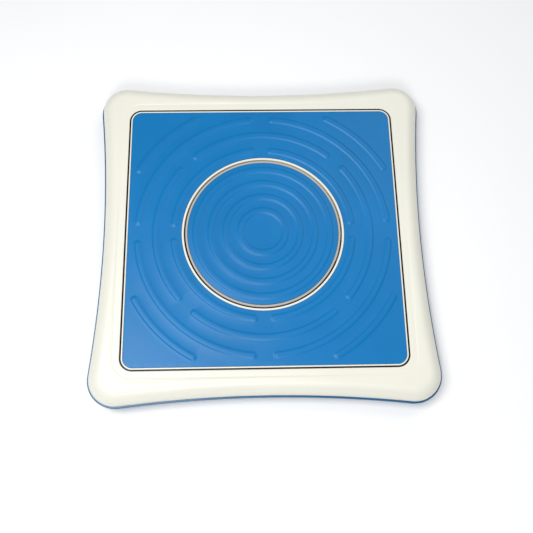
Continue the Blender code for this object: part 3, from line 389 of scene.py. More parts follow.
def board_lacquer(name, colour):
    """Green lacquer over faint copper tracks."""
    made, tree, shader, place = started(name, colour, 0.35)
    tracks = add_node(tree, "ShaderNodeTexBrick", Scale=140, Mortar_Size=0.08)
    tracks.inputs["Color1"].default_value = (*colour, 1)
    tracks.inputs["Color2"].default_value = (*[channel * 0.85 for channel in colour], 1)
    tracks.inputs["Mortar"].default_value = (0.10, 0.30, 0.12, 1)
    tree.links.new(place, tracks.inputs["Vector"])
    tree.links.new(tracks.outputs["Color"], shader.inputs["Base Color"])
    relief(tree, shader, tracks.outputs["Fac"], 0.3, 0.03 * MM)
    return made


def table_top(name, colour):
    made, tree, shader, place = started(name, colour, 0.7)
    shader.inputs["Specular IOR Level"].default_value = 0.2
    shader.inputs["Emission Color"].default_value = (1, 1, 1, 1)
    shader.inputs["Emission Strength"].default_value = 0.12
    tree.links.new(tinted(tree, noise(tree, place, 6), colour, 0.004), shader.inputs["Base Color"])
    return made


def make_finishes(colours):
    """Every finish by the name of its slot."""
    steel = (0.60, 0.60, 0.62)
    return {
        "cream_plastic": moulded_plastic("cream_plastic_finish", colours.cream, 0.36),
        # The head's finish below is the cream darkened as painted shade.
        "beige_plastic": moulded_plastic("beige_plastic_finish", colours.head, 0.42),
        "blue_plastic": moulded_plastic("blue_plastic_finish", colours.blue, 0.32),
        "blue_rubber": mat_rubber("blue_rubber_finish", colours.mat),
        "dark_rubber": plain_rubber("dark_rubber_finish", (0.03, 0.03, 0.032)),
        "bright_steel": worked_metal("bright_steel_finish", steel, 0.27),
        "cast_zinc": cast_metal("cast_zinc_finish", (0.42, 0.43, 0.45), 0.48),
        "brass": worked_metal("brass_finish", (0.72, 0.50, 0.20), 0.30),
        "natural_nylon": moulded_plastic("natural_nylon_finish", (0.70, 0.68, 0.58), 0.48, 0.03, 0.02),
        # Black plastic, also laid on the faces down in the gap round the deck as painted shade.
        "black_plastic": moulded_plastic("black_plastic_finish", (0.018, 0.018, 0.02), 0.42, 0.1, 0.02),
        "board_green": board_lacquer("board_green_finish", (0.015, 0.14, 0.06)),
        "cell_jacket": moulded_plastic("cell_jacket_finish", (0.10, 0.11, 0.13), 0.3, 0.05),
        "wire_red": moulded_plastic("wire_red_finish", (0.42, 0.02, 0.02), 0.45, 0.05),
    }


def finish(name):
    """The finish of a slot. Every finish is made the first time that one is asked for."""
    made = bpy.data.materials.get(f"{name}_finish")
    if made is None:
        made = make_finishes(bpy.context.scene.wheel_colours)[name]
    return made


# ------------------------------------------------------------------- meshing


def shade(mesh):
    mesh.shade_smooth()
    mesh.set_sharp_from_angle(angle=SHARP)


def piece(bm, name, body, slot, *nodes):
    """Merges doubles, faces the shape outwards, and makes it a piece on a body in a node's place."""
    bmesh.ops.remove_doubles(bm, verts=bm.verts, dist=1e-6)
    bmesh.ops.recalc_face_normals(bm, faces=bm.faces)
    mesh = bpy.data.meshes.new(name)
    bm.to_mesh(mesh)
    bm.free()
    mesh.materials.append(finish(slot))
    shade(mesh)
    made = bpy.data.objects.new(name, mesh)
    bpy.context.scene.collection.objects.link(made)
    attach(made, body)
    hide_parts(*nodes)
    return made


def joined(target, bm, operation):
    """Applies a Boolean with the shape, and leaves no modifier or cutter behind."""
    bmesh.ops.recalc_face_normals(bm, faces=bm.faces)
    mesh = bpy.data.meshes.new("cutter")
    bm.to_mesh(mesh)
    bm.free()
    cutter = bpy.data.objects.new("cutter", mesh)
    bpy.context.scene.collection.objects.link(cutter)
    modifier = target.modifiers.new("joined", "BOOLEAN")
    modifier.operation = operation
    modifier.solver = "EXACT"
    modifier.object = cutter
    graph = bpy.context.evaluated_depsgraph_get()
    made = bpy.data.meshes.new_from_object(target.evaluated_get(graph))
    target.modifiers.clear()
    target.data = made
    bpy.data.objects.remove(cutter)
    shade(made)


def add_spun(bm, profile, steps, x=0.0, y=0.0):
    """Spins a (radius, height) outline about the vertical through x, y.

    A fine one is spun as one sector and its copies, because a spin slows down as it grows.
    """
    start = len(bm.verts)
    points = [bm.verts.new((x + radius, y, height)) for radius, height in profile]
    edges = [bm.edges.new(pair) for pair in zip(points, points[1:])]
    if profile[0][0] > 0 or profile[-1][0] > 0:
        edges.append(bm.edges.new((points[-1], points[0])))
    sectors = max(1, steps // SPIN_SECTOR)
    while steps % sectors:
        sectors -= 1
    sweep = math.tau / sectors
    bmesh.ops.spin(
        bm, geom=points + edges, cent=(x, y, 0), axis=UP, angle=sweep, steps=steps // sectors,
        use_merge=sectors == 1,
    )
    bm.verts.ensure_lookup_table()
    spun = bm.verts[start:]
    faces = {face for vert in spun for face in vert.link_faces}
    sector = [*spun, *{edge for face in faces for edge in face.edges}, *faces]
    for number in range(1, sectors):
        copy = bmesh.ops.duplicate(bm, geom=sector)["geom"]
        verts = [item for item in copy if isinstance(item, bmesh.types.BMVert)]
        turn = Matrix.Rotation(sweep * number, 3, "Z")
        bmesh.ops.rotate(bm, verts=verts, cent=(x, y, 0), matrix=turn)
    bmesh.ops.remove_doubles(bm, verts=bm.verts, dist=1e-6)


def round_edges(bm, width, segments=2, steeper=SHARP):
    """Rounds every edge that turns more than an angle."""
    edges = [edge for edge in bm.edges if len(edge.link_faces) == 2 and edge.calc_face_angle() > steeper]
    bmesh.ops.bevel(
        bm, geom=edges, offset=width, segments=segments, profile=0.5, affect="EDGES", material=-1,
        clamp_overlap=True,
    )


def spun_piece(name, profile, body, slot, nodes, steps=SMALL_ROUND, x=0.0, y=0.0, width=EDGE):
    """A turned piece with its edges rounded."""
    bm = bmesh.new()
    add_spun(bm, profile, steps, x, y)
    if width:
        bmesh.ops.recalc_face_normals(bm, faces=bm.faces)
        round_edges(bm, width)
    return piece(bm, name, body, slot, *nodes)


def upright_edges(bm):
    return [edge for edge in bm.edges if abs(edge.verts[0].co.z - edge.verts[1].co.z) > MM]


def bevel_edges(bm, edges, width, segments):
    bmesh.ops.bevel(
        bm, geom=edges, offset=width, segments=segments, profile=0.5, affect="EDGES", material=-1
    )


def add_cylinder(bm, x, y, radius, bottom, top, steps=SCREW_ROUND):
    place = Matrix.Translation((x, y, (bottom + top) / 2))
    bmesh.ops.create_cone(
        bm, cap_ends=True, segments=steps, radius1=radius, radius2=radius, depth=top - bottom, matrix=place
    )


def add_block(bm, start, end, width=0.0, segments=3):
    """A box between two corners, with its edges rounded."""
    start, end = Vector(start), Vector(end)
    place = Matrix.LocRotScale((start + end) / 2, None, end - start)
    made = bmesh.ops.create_cube(bm, size=1, matrix=place)["verts"]
    if width:
        edges = {edge for vert in made for edge in vert.link_edges}
        bevel_edges(bm, list(edges), width, segments)


def quarter_turns(quarter):
    points = list(quarter)
    for _ in range(3):
        quarter = [(-y, x) for x, y in quarter]
        points += quarter
    return points


def body_outline(inset):
    """Points round the body's outline, moved in by inset: hollow sides joined by round corners."""
    sizes = bpy.context.scene.wheel_body
    far = OPENING_HALF + sizes.surround_width + sizes.side_radius
    reach = sizes.side_radius + sizes.corner_radius
    corner = (far - math.sqrt(2 * reach**2 - far**2)) / 2
    tilt = math.atan2(corner, far - corner)
    quarter = []
    for step in range(SIDE_STEPS):
        turn = tilt * (2 * step / SIDE_STEPS - 1)
        side = sizes.side_radius + inset
        quarter.append((far - side * math.cos(turn), side * math.sin(turn)))
    for step in range(CORNER_STEPS):
        turn = -tilt + (math.pi / 2 + 2 * tilt) * step / CORNER_STEPS
        radius = sizes.corner_radius - inset
        quarter.append((corner + radius * math.cos(turn), corner + radius * math.sin(turn)))
    return quarter_turns(quarter)


def square_outline(half, radius):
    """Points round a square with round corners, in step with body_outline."""
    straight = half - radius
    quarter = [(half, straight * (2 * step / SIDE_STEPS - 1)) for step in range(SIDE_STEPS)]
    for step in range(CORNER_STEPS):
        turn = math.pi / 2 * step / CORNER_STEPS
        quarter.append((straight + radius * math.cos(turn), straight + radius * math.sin(turn)))
    return quarter_turns(quarter)


def circle_outline(radius):
    """Points round a circle, in step with body_outline."""
    steps = SIDE_STEPS + CORNER_STEPS
    turns = [math.pi / 2 * (step - SIDE_STEPS / 2) / steps for step in range(steps)]
    return quarter_turns([(radius * math.cos(turn), radius * math.sin(turn)) for turn in turns])


def opening_outline(offset):
    return square_outline(OPENING_HALF + offset, opening_corner() + offset)


def opening_corner():
    return deck_corner() + GAP + lip_width() + DECK_GAP


def deck_corner():
    return 11.2 * MM


def lip_width():
    return TRAY_HALF - GAP - DECK_HALF


def next_ring(bm, verts, points, height):
    """Extrudes a ring of vertices, and moves the new ring onto the points at this height."""
    edges = [bm.edges.get(pair) for pair in zip(verts, verts[1:] + verts[:1])]
    made = bmesh.ops.extrude_edge_only(bm, edges=edges)["geom"]
    new = {item for item in made if isinstance(item, bmesh.types.BMVert)}
    ring = []
    for vert, (x, y) in zip(verts, points):
        raised = next(edge.other_vert(vert) for edge in vert.link_edges if edge.other_vert(vert) in new)
        raised.co = (x, y, height)
        ring.append(raised)
    return ring


def add_loft(bm, rings, closed):
    """Skins rings of (points, height). A closed loft joins the last to the first, an open one gets caps."""
    points, height = rings[0]
    first = [bm.verts.new((x, y, height)) for x, y in points]
    for pair in zip(first, first[1:] + first[:1]):
        bm.edges.new(pair)
    last = first
    for points, height in rings[1:]:
        last = next_ring(bm, last, points, height)
    if closed:
        next_ring(bm, last, *rings[0])
        bmesh.ops.remove_doubles(bm, verts=bm.verts, dist=1e-6)
    else:
        bm.faces.new(first)
        bm.faces.new(last)


def quarter_arc(steps):
    """(sine, one minus cosine) pairs round a quarter turn, from its start to its end."""
    turns = [math.pi / 2 * step / steps for step in range(steps + 1)]
    return [(math.sin(turn), 1 - math.cos(turn)) for turn in turns]


# ---------------------------------------------------------------- main sizes


def mat_top():
    return MAT_BOTTOM + bpy.context.scene.wheel_mats.mat_thickness


def rib_height():
    return high("wheel_mat").z - mat_top()


def lip_top():
    return high("wheel_head").z


def flange_bottom():
    return SHELL_BOTTOM + bpy.context.scene.wheel_body.flange_rise


def rim_top():
    return flange_bottom() + bpy.context.scene.wheel_body.rim_height


FLOOR = SHELL_BOTTOM + 2.5 * MM
SHELL_WALL = FLOOR - SHELL_BOTTOM
SURROUND_WALL = 2.4 * MM
SEAT_WIDTH = 5 * MM
PAN_INSET = 19 * MM  # from the rim in to the shell's wall
RIM_STEP = 2.0 * MM  # ledge of the rim outside the surround
TRAY_BOTTOM = SEAT_TOP + GAP
HOLE_RADIUS = WHEEL_RADIUS + 1.8 * MM
RING_LIP = 2.4 * MM
MAT_HOLE = HOLE_RADIUS + RING_LIP + GAP
SCREW_RADIUS = 1.5 * MM
SCREW_HEAD = 3.2 * MM
SCREW_HEAD_HEIGHT = 1.4 * MM
POST_RADIUS = 3.6 * MM
BORE_RADIUS = 4 * MM
RECESS_DEPTH = 0.8 * MM  # of the cross in a screw's head
RECESS_REACH = 1.7 * MM
RECESS_HALF = 0.35 * MM
FOOT_PLUG = 4 * MM  # radius of a foot's plug
DECK_POST_RADIUS = 6 * MM
DECK_POST_INSET = 66 * MM  # from the deck mat's edge
SPIN_SECTOR = 48  # most steps that are spun at once

# Stage: where each light stands, and its width
KEY_LIGHT = (-0.42, -0.12, 1.24), 0.5
BACK_LIGHT = (0.70, 0.75, 1.20), 1.0
FRONT_LIGHT = (-0.10, -0.85, 1.05), 0.3
TABLE_HALF = 3
CAMERA_AIM = (3.2 * MM, -43.84 * MM)  # x, y of the camera's target, on the mats


def axis_of(node):
    """x, y of a turned node's own axis."""
    middle = (low(node) + high(node)) / 2
    return middle.x, middle.y


def numbered(stem, count):
    return [f"{stem}_{number}" for number in range(1, count + 1)]


CASE_SCREWS = numbered("case_screw", 8)
FEET = numbered("foot", 4)
HOUSING_SCREWS = numbered("housing_screw", 3)
WHEEL_SCREWS = numbered("wheel_screw", 3)
BRACKET_SCREWS = numbered("bracket_screw", 2)
DOOR_SCREWS = numbered("door_screw", 2)
CELLS = numbered("battery_cell", 4)


# ------------------------------------------------------------------ the body


class POTTERY_OT_shell(Operator):
    """Lower shell: pan, finger flange and rim, with its posts, holes and slots"""

    bl_idname = "pottery.shell"
    bl_label = "Lower shell"

    def execute(self, context):
        bm = bmesh.new()
        add_loft(bm, self.rings(), closed=False)
        shell = piece(bm, "lower_shell", "body", "blue_plastic", "base_shell")
        joined(shell, self.posts(), "UNION")
        joined(shell, self.holes(), "DIFFERENCE")
        return {"FINISHED"}

    def rings(self):
        """From the underside's edge out round the flange and rim, and back in to the floor."""
        under = flange_bottom()
        upper = under + SHELL_WALL
        rim = rim_top()
        bend = 3 * MM
        edge = 1 * MM
        ledge = RIM_STEP + SURROUND_WALL + GAP
        rings = [
            (body_outline(PAN_INSET + bend * (1 - across)), SHELL_BOTTOM + bend * up)
            for across, up in quarter_arc(6)
        ]
        rings += [
            (body_outline(PAN_INSET - 0.8 * MM - edge * up), under - edge * (1 - across))
            for across, up in quarter_arc(4)
        ]
        rings += [
            (body_outline(edge * (1 - across)), under + edge * up) for across, up in quarter_arc(4)
        ]
        rings += [
            (body_outline(0.5 * MM * up), rim - 0.5 * MM * (1 - across)) for across, up in quarter_arc(4)
        ]
        rings += [
            (body_outline(ledge), rim),
            (body_outline(ledge), upper),
            (body_outline(PAN_INSET + 1.4 * MM), upper),
            (body_outline(PAN_INSET + SHELL_WALL + 0.4 * MM), FLOOR + bend),
            (body_outline(PAN_INSET + SHELL_WALL + 1.3 * MM), FLOOR + 0.9 * MM),
            (body_outline(PAN_INSET + SHELL_WALL + bend), FLOOR),
        ]
        return rings

    def posts(self):
        bm = bmesh.new()
        foot = FLOOR - 0.5 * MM
        for node in BRACKET_SCREWS:
            add_cylinder(bm, *axis_of(node), POST_RADIUS, foot, low("motor_bracket").z - GAP)
        start, end = low("control_board"), high("control_board")
        for x in (start.x + 5 * MM, end.x - 5 * MM):
            add_cylinder(bm, x, end.y - 4 * MM, POST_RADIUS, foot, start.z - GAP)
        post = DECK_HALF - DECK_POST_INSET
        for x in (-post, post):
            for y in (-post, post):
                add_cylinder(bm, x, y, DECK_POST_RADIUS, foot, SEAT_TOP)
        return bm

    def holes(self):
        bm = bmesh.new()
        hole = SCREW_RADIUS + GAP
        for node in CASE_SCREWS:
            add_cylinder(bm, *axis_of(node), hole, flange_bottom() - MM, flange_bottom() + SHELL_WALL + MM)
        for node in FEET:
            add_cylinder(bm, *axis_of(node), FOOT_PLUG + GAP, SHELL_BOTTOM - MM, FLOOR + MM)
        for node in HOUSING_SCREWS:
            add_cylinder(bm, *axis_of(node), hole, SHELL_BOTTOM - MM, FLOOR + MM)
        for node in BRACKET_SCREWS:
            add_cylinder(bm, *axis_of(node), hole, FLOOR + 3 * MM, high("motor_bracket").z)
        start, end = low("battery_door"), high("battery_door")
        spread = Vector((GAP, GAP, MM))
        add_block(bm, start - spread, end + spread)
        x, y = axis_of("speed_dial")
        dial = high("speed_dial").x - x
        thick = 0.8 * MM
        bottom = low("speed_dial").z
        add_cylinder(bm, x, y, dial + MM, bottom - thick, bottom + 4 * MM + thick, SMALL_ROUND)
        start, end = low("power_switch"), high("power_switch")
        room = 0.5 * MM
        add_block(
            bm,
            (start.x - room, start.y, start.z - room),
            (end.x + room + 4 * MM, start.y + 6.5 * MM, end.z + room),
        )
        return bm


class POTTERY_OT_surround(Operator):
    """Cream surround: rolled edge, low crown, crease, flat lip and the seat for the deck"""

    bl_idname = "pottery.surround"
    bl_label = "Surround"

    def execute(self, context):
        bm = bmesh.new()
        add_loft(bm, self.rings(context.scene.wheel_body), closed=True)
        surround = piece(bm, "cream_surround", "body", "cream_plastic", "top_surround")
        posts = bmesh.new()
        bores = bmesh.new()
        upper = flange_bottom() + SHELL_WALL
        for node in CASE_SCREWS:
            x, y = axis_of(node)
            add_cylinder(posts, x, y, POST_RADIUS, upper + GAP, rim_top() + 9 * MM)
            add_cylinder(bores, x, y, SCREW_RADIUS + GAP, upper, high(node).z + MM)
        joined(surround, posts, "UNION")
        joined(surround, bores, "DIFFERENCE")
        room = 0.05 * MM
        # Painted shade: the surround's cream faces down in the gap round the deck are coloured black.
        blacken_chips_and_gap_shade(
            surround,
            lambda place: max(abs(place.x), abs(place.y)) < OPENING_HALF + room
            and place.z < mat_top() - 1.2 * MM,
        )
        return {"FINISHED"}

    def rings(self, sizes):
        edge = rim_top() + GAP
        rise = CREST - edge
        rings = self.roll(sizes.roll_width, rise, RIM_STEP, edge, 28)
        crease = mat_top() + 0.24 * MM
        for step in range(1, 12):
            along = step / 12
            rings.append((self.between(sizes, along), CREST + (crease + 0.12 * MM - CREST) * along**2))
        offset = sizes.crease_offset
        rings += [
            (opening_outline(offset + 0.25 * MM), crease + 0.1 * MM),
            (opening_outline(offset), crease - 0.06 * MM),
            (opening_outline(offset - 0.4 * MM), crease - 0.04 * MM),
            (opening_outline(1.6 * MM), mat_top() + 0.04 * MM),
        ]
        corner = 0.8 * MM
        rings += [
            (opening_outline(corner * (1 - across)), mat_top() - corner * up) for across, up in quarter_arc(5)
        ]
        under = SEAT_TOP - SURROUND_WALL
        rings += [
            (opening_outline(0), mat_top() - 1.2 * MM),
            (opening_outline(0), SEAT_TOP + 0.5 * MM),
            (opening_outline(-0.5 * MM), SEAT_TOP),
            (opening_outline(-SEAT_WIDTH + 0.5 * MM), SEAT_TOP),
            (opening_outline(-SEAT_WIDTH), SEAT_TOP - 0.5 * MM),
            (opening_outline(-SEAT_WIDTH), under),
            (opening_outline(SURROUND_WALL), under),
            (opening_outline(SURROUND_WALL), mat_top() - SURROUND_WALL),
        ]
        inside = self.roll(
            sizes.roll_width - SURROUND_WALL, rise - SURROUND_WALL, RIM_STEP + SURROUND_WALL, edge, 12
        )
        return rings + inside[::-1]

    def roll(self, width, height, inset, bottom, steps):
        """Rings up the rolled edge, from its foot to its crest."""
        return [
            (body_outline(inset + width * up), bottom + height * across) for across, up in quarter_arc(steps)
        ]

    def between(self, sizes, along):
        """An outline part of the way from the roll's crest to the crease."""
        start = body_outline(RIM_STEP + sizes.roll_width)
        end = opening_outline(sizes.crease_offset + 0.6 * MM)
        return [
            (x + (to_x - x) * along, y + (to_y - y) * along) for (x, y), (to_x, to_y) in zip(start, end)
        ]


def blacken_chips_and_gap_shade(made, deep):
    """Gives black to the faces for which deep says yes: painted shade on those down in the gap round the
    deck, and the real black of the chips on the board.
    """
    made.data.materials.append(finish("black_plastic"))
    last = len(made.data.materials) - 1
    for face in made.data.polygons:
        if deep(face.center):
            face.material_index = last


class POTTERY_OT_deck_tray(Operator):
    """Cream deck tray: floor, outer lip and the collar round the wheel's hole"""

    bl_idname = "pottery.deck_tray"
    bl_label = "Deck tray"

    def execute(self, context):
        edge = 0.4 * MM
        corner = deck_corner() + GAP
        lip = lip_width()
        top = lip_top()
        skirt = low("deck_tray").z
        foot = 1 * MM
        rings = [
            (square_outline(TRAY_HALF - foot * (1 - across), corner + lip - foot * (1 - across)),
             TRAY_BOTTOM + foot * up)
            for across, up in quarter_arc(4)
        ]
        rings.append((square_outline(TRAY_HALF, corner + lip), top - 1 * MM))
        rings += [
            (square_outline(TRAY_HALF - edge * up, corner + lip - edge * up), top - edge * (1 - across))
            for across, up in quarter_arc(4)
        ]
        inner = TRAY_HALF - lip
        rings += [
            (square_outline(inner + edge * (1 - across), corner + edge * (1 - across)), top - edge * up)
            for across, up in quarter_arc(4)
        ]
        collar = HOLE_RADIUS + RING_LIP
        rings += [
            (square_outline(inner, corner), TRAY_TOP),
            (circle_outline(collar), TRAY_TOP),
        ]
        rings += [
            (circle_outline(collar - edge * up), top - edge * (1 - across)) for across, up in quarter_arc(4)
        ]
        rings += [
            (circle_outline(HOLE_RADIUS + edge * (1 - across)), top - edge * up)
            for across, up in quarter_arc(4)
        ]
        rings += [
            (circle_outline(HOLE_RADIUS), skirt),
            (circle_outline(collar), skirt),
            (circle_outline(collar), TRAY_BOTTOM),
        ]
        bm = bmesh.new()
        add_loft(bm, rings, closed=True)
        tray = piece(bm, "cream_deck_tray", "deck", "cream_plastic", "deck_tray")
        room = 0.3 * MM
        # Painted shade: the tray's cream outer wall below its lip, down in the gap, is coloured black.
        blacken_chips_and_gap_shade(
            tray,
            lambda place: max(abs(place.x), abs(place.y)) > TRAY_HALF - room and place.z < top - MM,
        )
        return {"FINISHED"}


# ------------------------------------------------------------------ the mats


def smooth_step(value):
    value = min(1.0, max(0.0, value))
    return value * value * (3 - 2 * value)


def rib_rise(sizes, distance):
    """Height of a raised ring, this far from the middle of its crest."""
    flank = (sizes.rib_width - sizes.rib_crest) / 2
    return rib_height() * (1 - smooth_step((abs(distance) - sizes.rib_crest / 2) / flank))


def rib_offsets(sizes, steps=6):
    """Places across a raised ring where its section bends, from one foot to the other."""
    flank = (sizes.rib_width - sizes.rib_crest) / 2
    side = [sizes.rib_crest / 2 + flank * step / steps for step in range(steps + 1)]
    return [-offset for offset in reversed(side)] + [0.0] + side


class POTTERY_OT_wheel_mat(Operator):
    """Round rubber mat on the head, with its raised rings"""

    bl_idname = "pottery.wheel_mat"
    bl_label = "Wheel mat"

    def execute(self, context):
        sizes = context.scene.wheel_mats
        outer = WHEEL_MAT_RADIUS - sizes.rib_margin
        pitch = (outer - sizes.first_rib) / max(1, sizes.head_ribs - 1)
        top = mat_top()
        profile = [(0, top), (sizes.first_rib * 0.4, top)]
        for rib in range(sizes.head_ribs):
            centre = sizes.first_rib + rib * pitch
            profile += [(centre + offset, top + rib_rise(sizes, offset)) for offset in rib_offsets(sizes)]
        edge = 0.4 * MM
        profile += [
            (WHEEL_MAT_RADIUS - edge * (1 - across), top - edge * up) for across, up in quarter_arc(4)
        ]
        profile += [(WHEEL_MAT_RADIUS, MAT_BOTTOM), (0, MAT_BOTTOM)]
        spun_piece("round_mat", profile, "wheel", "blue_rubber", ["wheel_mat"], 360, width=0)
        return {"FINISHED"}


class POTTERY_OT_deck_mat(Operator):
    """Square rubber mat on the deck, with its rings of raised arcs"""

    bl_idname = "pottery.deck_mat"
    bl_label = "Deck mat"

    STEPS = 1200
    EDGE = 0.4 * MM

    def execute(self, context):
        sizes = context.scene.wheel_mats
        top = mat_top()
        pitch = (DECK_HALF - sizes.arc_margin - MAT_HOLE - sizes.arc_start) / 2
        self.rings = [MAT_HOLE + sizes.arc_start + number * pitch for number in range(4)]
        self.far = DECK_HALF * 1.5
        radii = [MAT_HOLE]
        for ring in self.rings:
            radii += [ring + offset for offset in rib_offsets(sizes)]
        radii += [self.rings[-1] + step * 8 * MM for step in range(1, 8)]
        profile = [(radius, top) for radius in sorted(radii)]
        profile += [(self.far + step * MM, top) for step in range(5)]
        profile += [(self.far + 4 * MM, MAT_BOTTOM), (MAT_HOLE, MAT_BOTTOM)]
        bm = bmesh.new()
        add_spun(bm, profile, self.STEPS)
        arcs = self.arcs(sizes)
        for vert in bm.verts:
            self.place(vert, sizes, arcs, top)
        piece(bm, "square_mat", "deck", "blue_rubber", "deck_mat")
        return {"FINISHED"}

    def place(self, vert, sizes, arcs, top):
        """Moves a point of the wide disc in to the mat's outline, or up onto an arc."""
        radius = math.hypot(vert.co.x, vert.co.y)
        turn = math.atan2(vert.co.y, vert.co.x)
        edge = self.outline(turn)
        upper = vert.co.z > (top + MAT_BOTTOM) / 2
        height = vert.co.z
        if radius > self.far - MM / 2:
            if upper:
                across, up = quarter_arc(4)[round((radius - self.far) / MM)]
                edge -= self.EDGE * (1 - across)
                height = top - self.EDGE * up
            radius = edge
        elif upper:
            radius = min(radius, edge - self.EDGE)
            height = top + self.rise(radius, turn, sizes, arcs)
        vert.co = (radius * math.cos(turn), radius * math.sin(turn), height)

    def outline(self, turn):
        """Distance from the wheel's axis to the mat's edge in this direction."""
        across, along = sorted((abs(math.cos(turn)), abs(math.sin(turn))))
        straight = DECK_HALF - deck_corner()
        if across / along * DECK_HALF <= straight:
            return DECK_HALF / along
        towards = straight * (across + along)
        return towards + math.sqrt(towards**2 - 2 * straight**2 + deck_corner() ** 2)

    def arcs(self, sizes):
        """(ring radius, middle, half the sweep between the middles of the tips) of every arc."""
        found = []
        for number, ring in enumerate(self.rings):
            tip = sizes.rib_width / 2 / ring
            half = math.pi / 4 - sizes.arc_break
            if number == 3:
                reach = min(1.0, (DECK_HALF - sizes.corner_margin) / (ring + sizes.rib_width / 2))
                half = min(half, math.pi / 4 - math.acos(reach))
            first = 0 if number == 1 else math.pi / 4
            found += [(ring, first + quarter * math.pi / 2, half - tip) for quarter in range(4)]
        return found

    def rise(self, radius, turn, sizes, arcs):
        """Height over the mat of the arc at this place, if there is one. The tips are round."""
        reach = sizes.rib_width / 2
        for ring, middle, half in arcs:
            if abs(radius - ring) > reach:
                continue
            away = abs((turn - middle + math.pi) % math.tau - math.pi)
            if away <= half:
                return rib_rise(sizes, radius - ring)
            along = radius * math.sin(min(away - half, math.pi / 2))
            beyond = radius * math.cos(min(away - half, math.pi / 2)) - ring
            distance = math.hypot(along, beyond)
            if distance < reach:
                return rib_rise(sizes, distance)
        return 0.0


# ----------------------------------------------------------------- the wheel


def screw_seat(node):
    """Height of the underside of a screw's head."""
    return high(node).z - SCREW_HEAD_HEIGHT


def add_sunk_hole(bm, x, y, seat, through, mouth):
    """A screw hole from through to its seat, widened for the head from there to the mouth."""
    profile = [
        (0, through),
        (SCREW_RADIUS + GAP, through),
        (SCREW_RADIUS + GAP, seat),
        (SCREW_HEAD + GAP, seat),
        (SCREW_HEAD + GAP, mouth),
        (0, mouth),
    ]
    add_spun(bm, profile, SCREW_ROUND, x, y)


class POTTERY_OT_wheel_head(Operator):
    """Wheel head: plate, rounded lip, drip skirt and sunk screw holes"""

    bl_idname = "pottery.wheel_head"
    bl_label = "Wheel head"

    def execute(self, context):
        skirt = low("wheel_head").z
        top = lip_top()
        edge = 0.5 * MM
        lip = WHEEL_RADIUS - RING_LIP
        profile = [
            (0, TRAY_BOTTOM),
            (WHEEL_RADIUS - 3.5 * MM, TRAY_BOTTOM),
            (WHEEL_RADIUS - 3.5 * MM, skirt),
            (WHEEL_RADIUS - MM, skirt),
            (WHEEL_RADIUS, TRAY_BOTTOM),
        ]
        profile += [(WHEEL_RADIUS - edge * up, top - edge * (1 - across)) for across, up in quarter_arc(5)]
        profile += [(lip + edge * (1 - across), top - edge * up) for across, up in quarter_arc(5)]
        profile += [(lip, TRAY_TOP), (0, TRAY_TOP)]
        # The head's finish is painted shade: the cream colour darkened to about half.
        head = spun_piece("shade_darkened_head", profile, "wheel", "beige_plastic", ["wheel_head"], ROUND, width=0)
        holes = bmesh.new()
        for node in WHEEL_SCREWS:
            seat = screw_seat(node) - GAP
            add_sunk_hole(holes, *axis_of(node), seat, TRAY_BOTTOM - MM, TRAY_TOP + MM)
        joined(head, holes, "DIFFERENCE")
        return {"FINISHED"}


